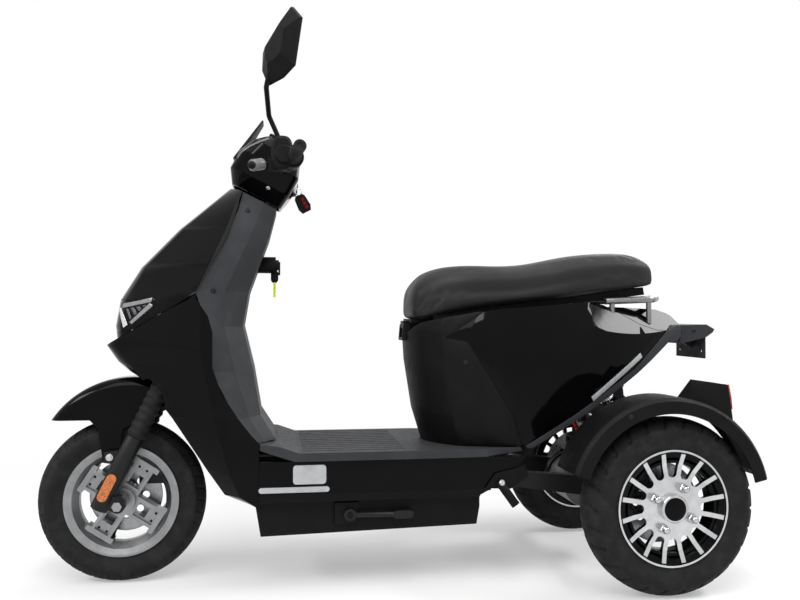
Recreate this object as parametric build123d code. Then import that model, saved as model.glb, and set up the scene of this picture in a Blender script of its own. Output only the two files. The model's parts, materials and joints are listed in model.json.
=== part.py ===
"""Three-wheeled electric scooter: one steered wheel in front, two driven wheels behind.

Lengths are millimetres. X runs forward, Y to the left and Z up from the ground. Inside this
file X is measured from the rear axle; save() moves every part so that the origin lies on the
ground under the middle of the vehicle.
"""
import os
from math import cos, radians, sin, sqrt, tan

from build123d import *

os.makedirs("parts", exist_ok=True)

# Wheels
WHEELBASE = 1330.0
REAR_TRACK = 616.0
FRONT_TYRE_R = 207.0
FRONT_TYRE_W = 80.0
REAR_TYRE_R = 217.0
REAR_TYRE_W = 94.0
FRONT_RIM_W = 66.0
REAR_RIM_W = 80.0
RIM_FLANGE_R = 141.0
RIM_SEAT_R = 127.0
RIM_WELL_R = 112.0
RIM_LIP = 5.0
RIM_SKIN = 5.0
FRONT_SPOKES = 4
REAR_SPOKES = 16
REAR_SPOKE_W = 11.0
AXLE_R = 8.0
SHAFT_R = 12.0
FRONT_DISC_R = 92.0
REAR_DISC_R = 100.0
DISC_T = 4.0
FRONT_HUB_HALF = 36.0
FRONT_SPOKE_TURN = 33.0

# Steering
RAKE = 26.0
TRAIL = 104.0
FORK_OFFSET = 35.0
FORK_HALF_SPAN = 78.0
SLIDER_R = 22.0
TUBE_R = 15.0
STEM_R = 16.0
BAR_R = 11.0
GRIP_R = 15.0
BAR_HALF = 345.0

# Body
REAR_OVERHANG = 262.0
WALL = 4.0
SEAM = 0.6
FLOOR_TOP = 345.0
FLOOR_BOTTOM = 324.0
FLOOR_HALF = 198.0
SKIRT_HALF = 190.0
SKIRT_BOTTOM = 222.0
BATTERY_HALF = 150.0

# Gaps
FIT = 0.3
RUNNING = 0.1
STEER_GAP = 10.0

REAR_HALF = REAR_TRACK / 2
SHIFT_X = (REAR_OVERHANG - FRONT_TYRE_R - WHEELBASE) / 2
COS_RAKE = cos(radians(RAKE))
SIN_RAKE = sin(radians(RAKE))
STEER = Location(
    Plane(
        origin=(WHEELBASE + TRAIL, 0, 0),
        x_dir=(COS_RAKE, 0, SIN_RAKE),
        z_dir=(-SIN_RAKE, 0, COS_RAKE),
    )
)


def steer_x(z):
    """X of the steering axis at height z."""
    return WHEELBASE + TRAIL - z * tan(radians(RAKE))


def save(name, *shapes):
    """Write one part file, moved to the shared frame."""
    solids = []
    for shape in shapes:
        solids.extend(shape.solids())
    moved = [Pos(SHIFT_X, 0, 0) * solid for solid in solids]
    export_step(moved[0] if len(moved) == 1 else Compound(children=moved), f"parts/{name}.step")


def biggest(shape):
    """The main solid of a cut shape."""
    return max(shape.solids(), key=lambda solid: solid.volume)


def from_front(points):
    """Side-view points measured along X from the front axle."""
    return [(WHEELBASE + x, z) for x, z in points]


def round_front_axle(points):
    """Side-view points measured from the middle of the front axle."""
    return [(WHEELBASE + x, FRONT_TYRE_R + z) for x, z in points]


def both_sides(shape):
    """A left shape together with its mirror image on the right."""
    return [shape, mirror(shape, about=Plane.XZ)]


def outline(points):
    """A flat face through the points."""
    return make_face(Polyline(*points, close=True))


def side_prism(points, y_low, y_high):
    """A side-view outline of (x, z) points, extended from y_low to y_high."""
    plane = Plane(origin=(0, y_high, 0), x_dir=(1, 0, 0), z_dir=(0, -1, 0))
    return extrude(plane * outline(points), amount=y_high - y_low)


def cross_prism(points, x_low, x_high):
    """A cross-section outline of (y, z) points, extended from x_low to x_high."""
    plane = Plane(origin=(x_low, 0, 0), x_dir=(0, 1, 0), z_dir=(1, 0, 0))
    return extrude(plane * outline(points), amount=x_high - x_low)


def block(x_range, y_range, z_range):
    """A box between the limits."""
    size = [high - low for low, high in (x_range, y_range, z_range)]
    middle = [(high + low) / 2 for low, high in (x_range, y_range, z_range)]
    return Pos(*middle) * Box(*size)


def rod(start, end, radius):
    """A round bar between two points."""
    axis = Vector(*end) - Vector(*start)
    return Plane(origin=start, z_dir=axis) * Cylinder(
        radius, axis.length, align=(Align.CENTER, Align.CENTER, Align.MIN)
    )


def pipe(points, bend, radius):
    """A round bar along a path with rounded corners."""
    path = FilletPolyline(*points, radius=bend)
    return sweep(Plane(origin=path @ 0, z_dir=path % 0) * Circle(radius), path)


def ring(radial_points):
    """A body of revolution about Y from (radius, y) points."""
    return revolve(outline(radial_points), Axis.Y)


# Wheels, built round the origin with the axle along Y and the outside towards +Y


def tyre(radius, width, rim_width):
    """A tyre carcass with a round crown."""
    bead = rim_width / 2 - RIM_LIP - FIT
    seat = RIM_SEAT_R + FIT
    side = (RIM_FLANGE_R + radius) / 2
    shoulder = (radius - 0.085 * radius, 0.42 * width)
    half = [
        Line((seat, 0), (seat, bead)),
        Line((seat, bead), (RIM_FLANGE_R, bead)),
        ThreePointArc((RIM_FLANGE_R, bead), (side, width / 2), shoulder),
        ThreePointArc(shoulder, (radius - 0.02 * radius, 0.24 * width), (radius, 0)),
    ]
    other = [mirror(edge, about=Plane.XZ) for edge in half]
    return revolve(make_face(half + other), Axis.Y)


def rim_barrel(width):
    """The ring that carries the tyre."""
    edge = width / 2
    inner = edge - RIM_LIP
    half = [
        (RIM_FLANGE_R, edge),
        (RIM_FLANGE_R, inner),
        (RIM_SEAT_R, inner),
        (RIM_WELL_R, 0.35 * edge),
    ]
    under = [
        (RIM_WELL_R - RIM_SKIN, 0.35 * edge),
        (RIM_SEAT_R - RIM_SKIN, inner),
        (RIM_FLANGE_R - RIM_SKIN, edge),
    ]
    top = half + [(r, -y) for r, y in reversed(half)]
    bottom = [(r, -y) for r, y in under[::-1]] + under
    return ring(top + bottom)


def front_wheel_parts():
    """Tyre, rim and brake disc of the steered wheel."""
    hub_r = 33.0
    spoke_w = 54.0
    spoke_t = 38.0
    rim = rim_barrel(FRONT_RIM_W)
    rim += Rot(90, 0, 0) * Cylinder(hub_r, 2 * FRONT_HUB_HALF)
    reach = RIM_WELL_R - RIM_SKIN / 2
    for index in range(FRONT_SPOKES):
        turn = Rot(0, -FRONT_SPOKE_TURN - index * 360 / FRONT_SPOKES, 0)
        spoke = Pos(reach / 2, 0, 0) * Box(reach, spoke_t, spoke_w)
        pocket_length = reach - hub_r - 16
        pocket = Pos(hub_r + 8 + pocket_length / 2, spoke_t / 2, 0) * Box(pocket_length, 20, spoke_w - 16)
        window = Pos(hub_r + 8 + 15, 0, 0) * Box(30, 2 * spoke_t, spoke_w - 26)
        foot = Pos(reach - 7, 0, 0) * Box(14, spoke_t, spoke_w + 22)
        rim += turn * (spoke - pocket - window + foot)
    rim -= Rot(90, 0, 0) * Cylinder(AXLE_R + RUNNING, 4 * FRONT_HUB_HALF)
    disc_y = -FRONT_HUB_HALF - FIT - DISC_T / 2
    disc = Rot(90, 0, 0) * (Cylinder(FRONT_DISC_R, DISC_T) - Cylinder(AXLE_R + 6, 2 * DISC_T))
    slot = Rot(90, 0, 0) * extrude(Circle(9), amount=DISC_T, both=True)
    for index in range(8):
        disc -= Rot(0, index * 45, 0) * Pos(50, 0, 0) * slot
    place = Pos(WHEELBASE, 0, FRONT_TYRE_R)
    return (
        place * tyre(FRONT_TYRE_R, FRONT_TYRE_W, FRONT_RIM_W),
        place * rim,
        place * Pos(0, disc_y, 0) * disc,
    )


def rear_wheel_parts():
    """Tyre, rim and brake disc of the left driven wheel."""
    face_y = 26.0
    face_t = 12.0
    hub_r = 34.0
    hub_inner = -34.0
    hub_outer = 44.0
    slot_inner = 84.0
    slot_outer = RIM_WELL_R - 4
    rim = rim_barrel(REAR_RIM_W)
    plate_r = RIM_WELL_R + 3
    plate = Pos(0, face_y, 0) * Rot(90, 0, 0) * Cylinder(plate_r, face_t)
    pitch = 2 * 3.14159265 / REAR_SPOKES
    inner_half = (slot_inner * pitch - REAR_SPOKE_W) / 2
    outer_half = (slot_outer * pitch - REAR_SPOKE_W) / 2
    slot = [
        (slot_inner, -inner_half),
        (slot_outer, -outer_half),
        (slot_outer, outer_half),
        (slot_inner, inner_half),
    ]
    cutter = side_prism(slot, face_y - face_t, face_y + face_t)
    cutter += Pos(slot_inner, face_y, 0) * Rot(90, 0, 0) * Cylinder(inner_half, 2 * face_t)
    for index in range(REAR_SPOKES):
        plate -= Rot(0, index * 360 / REAR_SPOKES, 0) * cutter
    rim += plate
    tip = [
        (slot_outer - 6, face_y - face_t / 2),
        (slot_outer - 6, face_y + face_t / 2),
        (RIM_FLANGE_R - 5, REAR_RIM_W / 2 - 0.5),
        (RIM_FLANGE_R - 4, REAR_RIM_W / 2 - 2),
        (RIM_SEAT_R - RIM_SKIN + 1, REAR_RIM_W / 2 - 7),
    ]
    tip = extrude(outline(tip), amount=REAR_SPOKE_W / 2, both=True)
    for index in range(REAR_SPOKES):
        rim += Rot(0, (index + 0.5) * 360 / REAR_SPOKES, 0) * tip
    hub_mid = (hub_inner + hub_outer) / 2
    rim += Pos(0, hub_mid, 0) * Rot(90, 0, 0) * Cylinder(hub_r, hub_outer - hub_inner)
    bore_depth = hub_outer - 14 - hub_inner
    rim -= Pos(0, hub_inner + bore_depth / 2, 0) * Rot(90, 0, 0) * Cylinder(SHAFT_R + RUNNING, bore_depth)
    disc_y = hub_inner - FIT - DISC_T / 2
    disc = Rot(90, 0, 0) * (Cylinder(REAR_DISC_R, DISC_T) - Cylinder(SHAFT_R + 6, 2 * DISC_T))
    hole = Rot(90, 0, 0) * Cylinder(8, 2 * DISC_T)
    for index in range(10):
        disc -= Rot(0, index * 36, 0) * Pos(62, 0, 0) * hole
    place = Pos(0, REAR_HALF, REAR_TYRE_R)
    return (
        place * tyre(REAR_TYRE_R, REAR_TYRE_W, REAR_RIM_W),
        place * rim,
        place * Pos(0, disc_y, 0) * disc,
        REAR_HALF + hub_inner,
        REAR_HALF + hub_outer - 14,
    )


front_tyre, front_rim, front_disc = front_wheel_parts()
save("front_tyre", front_tyre)
save("front_rim", front_rim)
save("front_disc", front_disc)

rear_tyre, rear_rim, rear_disc, hub_inner_y, bore_end_y = rear_wheel_parts()
for part_name, part_shape in (("rear_tyre", rear_tyre), ("rear_rim", rear_rim), ("rear_disc", rear_disc)):
    left_part, right_part = both_sides(part_shape)
    save(f"{part_name}_left", left_part)
    save(f"{part_name}_right", right_part)

# Fork, front axle, fender and brake

AXLE_P = -TRAIL * COS_RAKE + FRONT_TYRE_R * SIN_RAKE
AXLE_H = TRAIL * SIN_RAKE + FRONT_TYRE_R * COS_RAKE
SLIDER_TOP = FRONT_TYRE_R + 193
SLIDER_BOTTOM = FRONT_TYRE_R - 2
FENDER_X = WHEELBASE - 22
FENDER_Z = FRONT_TYRE_R + 84
FENDER_R = FRONT_TYRE_R + 22
FENDER_HALF = 52.0
FENDER_EDGE = 26.0
FENDER_SKIN = 3.5
CROWN_H = FRONT_TYRE_R + 368
CROWN_T = 26.0
LEG_LUG = ((-18, 135), (34, 131), (36, 105), (-4, 99))
front_axle_line = Pos(WHEELBASE, 0, FRONT_TYRE_R) * Rot(90, 0, 0)

slider = Pos(FORK_OFFSET, FORK_HALF_SPAN, (SLIDER_TOP + SLIDER_BOTTOM) / 2) * Cylinder(
    SLIDER_R, SLIDER_TOP - SLIDER_BOTTOM
)
upper_tube = Pos(FORK_OFFSET, FORK_HALF_SPAN, (SLIDER_TOP + CROWN_H + CROWN_T) / 2) * Cylinder(
    TUBE_R, CROWN_H + CROWN_T - SLIDER_TOP
)
lug = Pos(AXLE_P, FORK_HALF_SPAN, AXLE_H) * Rot(90, 0, 0) * Cylinder(18, 26)
lug += Pos((AXLE_P + FORK_OFFSET) / 2, FORK_HALF_SPAN, AXLE_H) * Box(FORK_OFFSET - AXLE_P, 26, 36)
leg = STEER * (slider + upper_tube + lug)
leg += side_prism(round_front_axle(LEG_LUG), FENDER_HALF + FIT, FORK_HALF_SPAN)
leg -= front_axle_line * Cylinder(AXLE_R + FIT, 400)
save("fork_legs", *both_sides(leg))

axle_half = FORK_HALF_SPAN + 13
front_axle = front_axle_line * Cylinder(AXLE_R, 2 * axle_half)
for end in (-1, 1):
    nut = Pos(WHEELBASE, end * (axle_half + 4 + FIT), FRONT_TYRE_R) * Rot(90, 0, 0)
    front_axle += nut * extrude(RegularPolygon(13, 6), amount=4 + FIT, both=True)
spacer_end = FORK_HALF_SPAN - 13 - FIT
for end in (-1, 1):
    start = FRONT_HUB_HALF + 1 if end > 0 else FRONT_HUB_HALF + DISC_T + 2.5
    spacer = Pos(WHEELBASE, end * (start + spacer_end) / 2, FRONT_TYRE_R) * Rot(90, 0, 0)
    front_axle += spacer * Cylinder(13, spacer_end - start)
save("front_axle", front_axle)

GAITER_RIBS = 8
gaiter_low = SLIDER_TOP + FIT
gaiter_high = CROWN_H - 12
rib_pitch = (gaiter_high - gaiter_low) / GAITER_RIBS
profile = [(TUBE_R + FIT, gaiter_low)]
for index in range(GAITER_RIBS):
    profile.append((TUBE_R + 6, gaiter_low + index * rib_pitch))
    profile.append((TUBE_R + 10, gaiter_low + (index + 0.5) * rib_pitch))
profile.append((TUBE_R + 6, gaiter_high))
profile.append((TUBE_R + FIT, gaiter_high))
gaiter = revolve(Plane.XZ * outline(profile), Axis.Z)
save("fork_gaiters", *both_sides(STEER * Pos(FORK_OFFSET, FORK_HALF_SPAN, 0) * gaiter))

BAR_Z = 1045.0
BAR_X = steer_x(BAR_Z)
BAR_H = (WHEELBASE + TRAIL - BAR_X) * SIN_RAKE + BAR_Z * COS_RAKE
crown = Box(FORK_OFFSET + 56, 2 * FORK_HALF_SPAN + 46, CROWN_T)
crown = Pos(FORK_OFFSET / 2, 0, CROWN_H + CROWN_T / 2) * crown
for end in (-1, 1):
    crown -= Pos(FORK_OFFSET, end * FORK_HALF_SPAN, CROWN_H) * Cylinder(TUBE_R + FIT, 200)
crown += Pos(0, 0, (CROWN_H + BAR_H) / 2) * Cylinder(STEM_R, BAR_H - CROWN_H)
crown += Pos(0, 0, BAR_H) * Box(44, 56, 44)
crown = STEER * crown - rod((BAR_X, -100, BAR_Z), (BAR_X, 100, BAR_Z), BAR_R + FIT)
save("fork_crown", crown)


def fender_drum(radius, half_width, edge_radius):
    """A round drum with softened rims, used for the front fender."""
    drum = Cylinder(radius, 2 * half_width)
    drum = fillet(drum.edges().filter_by(GeomType.CIRCLE), edge_radius)
    return Pos(FENDER_X, 0, FENDER_Z) * Rot(90, 0, 0) * drum


FENDER_KEEP = (
    # x, z from the front axle, round the part of the drum that is left
    (190, 207),
    (75, 207),
    (55, 185),
    (42, 101),
    (8, 101),
    (-5, 185),
    (-115, 233),
    (-155, 267),
    (-155, 333),
    (190, 333),
)
fender = fender_drum(FENDER_R, FENDER_HALF, FENDER_EDGE)
fender -= fender_drum(FENDER_R - FENDER_SKIN, FENDER_HALF - FENDER_SKIN, FENDER_EDGE - FENDER_SKIN)
fender = fender & side_prism(round_front_axle(FENDER_KEEP), -80, 80)
save("front_fender", fender)

reflector = Pos(FORK_OFFSET + 4, FORK_HALF_SPAN + SLIDER_R + 2 + FIT, SLIDER_BOTTOM + 60) * Rot(90, 0, 0)
reflector = STEER * reflector * extrude(SlotOverall(72, 24, rotation=90), amount=2, both=True)
save("fork_reflectors", *both_sides(reflector))

CALIPER_BACK = WHEELBASE - 105
CALIPER_FRONT = WHEELBASE - 34
CALIPER_LOW = FRONT_TYRE_R + 31
CALIPER_HIGH = FRONT_TYRE_R + 105
caliper_y = -(FRONT_HUB_HALF + FIT + DISC_T / 2)
disc_axis = Pos(0, caliper_y, 0) * front_axle_line
caliper = block((CALIPER_BACK, CALIPER_FRONT), (caliper_y - 24, caliper_y + 16), (CALIPER_LOW, CALIPER_HIGH))
caliper = caliper & (disc_axis * Cylinder(FRONT_DISC_R + 9, 200))
caliper += block((CALIPER_BACK, CALIPER_FRONT), (caliper_y - 24, caliper_y - 9), (CALIPER_LOW, CALIPER_HIGH))
caliper -= disc_axis * Cylinder(FRONT_DISC_R + 5, DISC_T + 7)
caliper_arm = ((CALIPER_FRONT - 11, WHEELBASE - 10), (-FORK_HALF_SPAN, caliper_y - 12))
caliper += block(*caliper_arm, (CALIPER_LOW + 24, CALIPER_HIGH - 16))
caliper -= mirror(leg, about=Plane.XZ)
save("front_caliper", biggest(caliper))

# Handlebar, cowl and controls

BAR_BEND = (BAR_X - 12, 190.0, BAR_Z + 13)
BAR_END = (BAR_X - 27, BAR_HALF, BAR_Z + 15)
bar_path = [
    BAR_END,
    BAR_BEND,
    (BAR_X, 105, BAR_Z),
    (BAR_X, -105, BAR_Z),
    (BAR_BEND[0], -BAR_BEND[1], BAR_BEND[2]),
    (BAR_END[0], -BAR_END[1], BAR_END[2]),
]
save("handlebar", pipe(bar_path, 30, BAR_R))


def along_bar(share):
    """A point on the straight outer run of the left handlebar."""
    return tuple(a + (b - a) * share for a, b in zip(BAR_BEND, BAR_END))


grip = rod(along_bar(0.24), along_bar(1.02), GRIP_R) + rod(along_bar(0.24), along_bar(0.28), GRIP_R + 5)
grip -= rod(along_bar(-0.2), along_bar(1.0), BAR_R + FIT)
save("grips", *both_sides(grip))

LEVER_X = BAR_X + 79
LEVER_Z = BAR_Z - 32
pod = rod(along_bar(-0.04), along_bar(0.22), 26)
pod += block((BAR_X - 6, BAR_X + 44), (190, 216), (BAR_Z - 18, BAR_Z + 14))
lever_path = [
    (BAR_X + 16, 202, BAR_Z + 1),
    (BAR_X + 48, 210, BAR_Z - 5),
    (BAR_X + 76, 262, BAR_Z - 17),
    (LEVER_X, BAR_HALF, LEVER_Z),
]
pod += pipe(lever_path, 16, 6.5)
pod += Pos(LEVER_X, BAR_HALF, LEVER_Z) * Sphere(9)
pod -= pipe(bar_path, 30, BAR_R + FIT)
pod = biggest(pod)
save("controls", *both_sides(pod))

COWL_ROWS = (
    # height along the steering axis, rear, front, half width, corner radius
    (1078, -27, 112, 55, 28),
    (1112, -34, 132, 92, 34),
    (1160, -37, 128, 118, 40),
    (1200, -22, 112, 104, 34),
    (1228, 12, 88, 78, 26),
)


def cowl_body(inset):
    """The handlebar cowl as a solid, drawn in by the inset."""
    faces = []
    for height, rear, front, half, corner in COWL_ROWS:
        lift = -inset if height == COWL_ROWS[-1][0] else 0
        place = STEER * Pos((rear + front) / 2, 0, height + lift)
        faces.append(place * RectangleRounded(front - rear - 2 * inset, 2 * (half - inset), corner - inset))
    return loft(faces, ruled=True)


cowl = cowl_body(0) - cowl_body(WALL)
cowl -= pipe(bar_path, 30, BAR_R + FIT)
save("bar_cowl", biggest(cowl))

VISOR_LOW = (132, 1136)
VISOR_HIGH = (117, 1266)
visor_low = STEER * Pos(VISOR_LOW[0], 0, VISOR_LOW[1]) * RectangleRounded(8, 150, 3)
visor_high = STEER * Pos(VISOR_HIGH[0], 0, VISOR_HIGH[1]) * RectangleRounded(4, 60, 1.5)
visor = loft([visor_low, visor_high]) - cowl_body(-FIT)
save("visor", biggest(visor))

COWL_TOP = COWL_ROWS[-1]
dash = Pos((COWL_TOP[1] + COWL_TOP[2]) / 2, 0, COWL_TOP[0] + FIT)
save("instrument", STEER * dash * extrude(RectangleRounded(66, 124, 14), amount=12))

MIRROR_AT = (BAR_X + 11, 318.0, BAR_Z + 247)
MIRROR_TURN = 45.0
MIRROR_EDGE = ((32, 83), (60, 53), (39, -51), (3, -73), (-42, -83), (-60, -49), (-58, -8))
turn_x = cos(radians(MIRROR_TURN))
turn_y = sin(radians(MIRROR_TURN))
mirror_plane = Plane(origin=MIRROR_AT, x_dir=(-turn_x, turn_y, 0), z_dir=(turn_y, turn_x, 0))


def mirror_face(scale, depth):
    """The mirror's outline, scaled, at a depth behind the glass."""
    return mirror_plane.offset(depth) * outline([(u * scale, v * scale) for u, v in MIRROR_EDGE])


shell = loft([mirror_face(1.0, 0), mirror_face(0.98, 9), mirror_face(0.5, 30)], ruled=True)
stalk_path = [
    (BAR_X + 6, 200, BAR_Z + 31),
    (BAR_X + 26, 200, BAR_Z + 77),
    (BAR_X + 43, 208, BAR_Z + 113),
    (BAR_X + 49, 291, BAR_Z + 159),
    (BAR_X + 38, 318, BAR_Z + 205),
]
head = shell + pipe(stalk_path, 10, 6)
head -= pod
save("mirror", biggest(head))
save("mirror_glass", extrude(mirror_face(0.93, -FIT), amount=-2))

# Front body, measured from the front axle

SEAM_LINE = (
    # x, z of the line between the outer panels and the inner leg shield
    (-310, 1040),
    (-288, 954),
    (-264, 877),
    (-194, 737),
    (-194, 719),
    (-223, 676),
    (-234, 636),
    (-234, 552),
    (-256, 490),
    (-296, 428),
    (-327, 388),
    (-345, 369),
)
UPPER_ROWS = (
    # height, ridge x, strip x, strip half width, side x, side half width
    (1020, -274, -284, 34, -300, 78),
    (900, -134, -150, 46, -262, 124),
    (800, -40, -58, 56, -222, 168),
    (716, 11, -12, 64, -184, 196),
    (650, 22, 0, 66, -206, 200),
    (590, 15, -5, 66, -216, 200),
)
LOWER_ROWS = (
    # height, front x, strip x, strip half width, side x, side half width
    (600, 44, 0, 62, -204, 200),
    (560, 16, -20, 74, -212, 198),
    (514, -40, -62, 105, -222, 195),
    (427, -122, -135, 138, -238, 190),
    (300, -208, -220, 148, -274, 190),
    (240, -250, -262, 148, -300, 186),
    (212, -314, -324, 142, -340, 178),
)
SPLIT_FRONT = (46.0, 599.0)
SPLIT_REAR = (-202.0, 735.0)
LAMP_EDGE = ((60, 714), (-8, 712), (-89, 724), (-94, 700), (-34, 650), (-4, 637), (60, 640))
BODY_BACK = WHEELBASE - 430


def front_section(row, inset, back):
    """A level cut through the front body."""
    z, x_front, x_strip, y_strip, x_side, y_side = row
    side = (WHEELBASE + x_side - 0.5 * inset, y_side - 0.9 * inset)
    strip = (WHEELBASE + x_strip - inset, y_strip - 0.4 * inset)
    tail = (back, side[1])
    edges = [
        Line(tail, side),
        Line(side, strip),
        ThreePointArc(strip, (WHEELBASE + x_front - inset, 0), (strip[0], -strip[1])),
        Line((strip[0], -strip[1]), (side[0], -side[1])),
        Line((side[0], -side[1]), (tail[0], -tail[1])),
        Line((tail[0], -tail[1]), tail),
    ]
    return Plane.XY.offset(z) * make_face(edges)


def front_body(rows, inset, back):
    """The front body between the first and last row."""
    return loft([front_section(row, inset, back) for row in rows], ruled=True)


def stretched(rows, top, bottom):
    """Rows with the end heights moved outwards."""
    first = (rows[0][0] + top,) + rows[0][1:]
    last = (rows[-1][0] - bottom,) + rows[-1][1:]
    return (first,) + rows[1:-1] + (last,)


TOP_H = COWL_ROWS[0][0] - STEER_GAP
below_cowl = STEER * Pos(0, 0, TOP_H - 500) * Box(3000, 1000, 1000)
below_roof = STEER * Pos(0, 0, TOP_H - WALL - 500) * Box(3000, 1000, 1000)
stem_hole = STEER * Pos(0, 0, TOP_H) * Cylinder(STEM_R + 6, 100)
seam_front = [(x + SEAM, z) for x, z in SEAM_LINE]
seam_front += [(SEAM_LINE[-1][0] + SEAM, 150), (170, 150), (170, 1040)]
front_of_seam = side_prism(from_front(seam_front), -400, 400)
split_slope = (SPLIT_REAR[1] - SPLIT_FRONT[1]) / (SPLIT_REAR[0] - SPLIT_FRONT[0])


def split_line(lift):
    """The parting line between the upper and lower front panels, raised by lift."""
    ends = (-430, 170)
    return [(x, SPLIT_FRONT[1] + (x - SPLIT_FRONT[0]) * split_slope + lift) for x in ends]


above_split = side_prism(from_front(split_line(SEAM) + [(170, 1100), (-430, 1100)]), -400, 400)
under_split = side_prism(from_front(split_line(0) + [(170, 100), (-430, 100)]), -400, 400)
side_plane = Plane(origin=(0, 400, 0), x_dir=(1, 0, 0), z_dir=(0, -1, 0))
lamp_outline = outline(from_front(LAMP_EDGE))
lamp_prism = extrude(side_plane * offset(lamp_outline, amount=-SEAM), amount=800)
lamp_hole = extrude(side_plane * lamp_outline, amount=800)

upper_solid = front_body(UPPER_ROWS, 0, BODY_BACK)
upper_core = front_body(stretched(UPPER_ROWS, 0, 1), WALL, BODY_BACK - 10) & below_roof
front_cowl = (upper_solid & below_cowl) - upper_core - stem_hole
front_cowl = (front_cowl & front_of_seam & above_split) - lamp_hole
save("front_cowl", biggest(front_cowl))

LAMP_DEPTH = 14.0
lamp_core = front_body(stretched(UPPER_ROWS, 1, 1), LAMP_DEPTH, BODY_BACK - 10)
save("headlamp", biggest((upper_solid & lamp_prism & above_split) - lamp_core))

WEDGE_ROWS = ((745,) + LOWER_ROWS[0][1:], LOWER_ROWS[0])


def lower_body(inset, spread):
    """The lower front body with its pointed nose."""
    wedge = front_body(stretched(WEDGE_ROWS, spread, 0), inset, BODY_BACK)
    return wedge + front_body(stretched(LOWER_ROWS, 0, spread), inset, BODY_BACK)


ARCH_LOW = 60.0
ARCH_ROWS = (
    # radius and height along the steering axis of the space that the turning wheel needs
    (FRONT_TYRE_R + 19, ARCH_LOW),
    (FRONT_TYRE_R + 19, FRONT_TYRE_R + 93),
    (150, FRONT_TYRE_R + 233),
    (126, FRONT_TYRE_R + 293),
    (126, FRONT_TYRE_R + 353),
)


def turning_space(grow):
    """The space swept by the steered wheel, grown outwards."""
    rows = [(radius + grow, height) for radius, height in ARCH_ROWS]
    return STEER * revolve(Plane.XZ * outline([(0, ARCH_LOW)] + rows + [(0, rows[-1][1])]), Axis.Z)


LINER_T = 4.0
nose = (lower_body(0, 0) - lower_body(WALL, 1)) & under_split & front_of_seam
nose -= turning_space(LINER_T + FIT)
save("nose_panel", biggest(nose))

LINER_LINE = (
    # x, z round the liner behind the front wheel
    (-430, 234),
    (-252, 234),
    (-190, 290),
    (-146, 372),
    (-122, 440),
    (-122, 520),
    (-430, 520),
)
liner = turning_space(LINER_T) - turning_space(0)
liner = liner & side_prism(from_front(LINER_LINE), -146, 146)
liner -= lower_body(-FIT, 1) - lower_body(WALL + FIT, 2)
save("wheel_apron", biggest(liner))

SHIELD_ROWS = (
    # height, edge x, edge half width, mid x, mid half width, rear x, rear half width
    (1000, -300, 80, -360, 74, -394, 48),
    (948, -288, 98, -345, 90, -382, 58),
    (877, -258, 126, -318, 112, -364, 66),
    (737, -190, 182, -258, 148, -314, 78),
    (650, -224, 190, -258, 150, -300, 82),
    (540, -232, 188, -284, 150, -327, 88),
    (428, -290, 182, -320, 156, -346, 100),
    (368, -340, 181, -356, 162, -384, 112),
)


def shield_section(row, inset):
    """A level cut through the inner leg shield."""
    z, x_edge, y_edge, x_mid, y_mid, x_rear, y_rear = row
    points = [
        (WHEELBASE + x_edge + inset, y_edge - inset),
        (WHEELBASE + x_mid + 0.6 * inset, y_mid - 0.8 * inset),
        (WHEELBASE + x_rear + inset, y_rear - 0.5 * inset),
    ]
    return Plane.XY.offset(z) * outline(points + [(x, -y) for x, y in reversed(points)])


def shield_body(inset, spread):
    """The inner leg shield as a solid."""
    return loft([shield_section(row, inset) for row in stretched(SHIELD_ROWS, 0, spread)], ruled=True)


cowl_inside = front_body(stretched(UPPER_ROWS, 1, 1), WALL + 2 * FIT, BODY_BACK - 10)
cowl_zone = (upper_solid - cowl_inside) & front_of_seam
nose_zone = (lower_body(0, 0) - lower_body(WALL + 2 * FIT, 1)) & front_of_seam
roof_zone = STEER * Pos(0, 0, TOP_H + 50 - WALL - FIT) * Box(3000, 1000, 100)
shield = (shield_body(0, 0) & below_cowl) - (shield_body(WALL, 1) & below_roof) - stem_hole
shield -= cowl_zone
shield -= nose_zone
shield -= roof_zone & front_of_seam
save("inner_shield", biggest(shield))

LOCK_X = WHEELBASE - 382
LOCK_Y = -28.0
LOCK_Z = 813.0
lock = rod((LOCK_X, LOCK_Y, LOCK_Z), (LOCK_X + 62, LOCK_Y, LOCK_Z), 22)
lock += rod((LOCK_X - 8, LOCK_Y, LOCK_Z), (LOCK_X + 2, LOCK_Y, LOCK_Z), 14)
lock += block((LOCK_X - 12, LOCK_X - 7), (LOCK_Y - 2, LOCK_Y + 2), (LOCK_Z - 27, LOCK_Z + 9))
lock -= shield_body(-FIT, 0)
save("ignition_lock", biggest(lock))

# Floor

FLOOR_REAR = 318.0
FLOOR_FRONT = WHEELBASE + SEAM_LINE[-1][0] - 1
RISER = FLOOR_FRONT - 94
FLOOR_LINE = (
    (FLOOR_REAR, FLOOR_BOTTOM + 8),
    (FLOOR_REAR + 4, FLOOR_TOP - 4),
    (560, FLOOR_TOP),
    (RISER, FLOOR_TOP),
    (RISER + 48, FLOOR_TOP + 17),
    (FLOOR_FRONT, FLOOR_TOP + 22.5),
    (FLOOR_FRONT, FLOOR_TOP + 7),
    (RISER + 10, FLOOR_BOTTOM),
    (423, FLOOR_BOTTOM),
)
FLOOR_PLAN = (
    (FLOOR_REAR, 160),
    (420, 192),
    (560, FLOOR_HALF),
    (FLOOR_FRONT - 24, FLOOR_HALF),
    (FLOOR_FRONT, FLOOR_HALF - 8),
)
RIB_PITCH = 30
footboard = side_prism(FLOOR_LINE, -FLOOR_HALF, FLOOR_HALF)
floor_plan = list(FLOOR_PLAN) + [(x, -y) for x, y in reversed(FLOOR_PLAN)]
footboard = footboard & (Pos(0, 0, FLOOR_BOTTOM - 24) * extrude(outline(floor_plan), amount=120))
footboard -= block((300, 470), (-128, 128), (300, 360))
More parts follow.
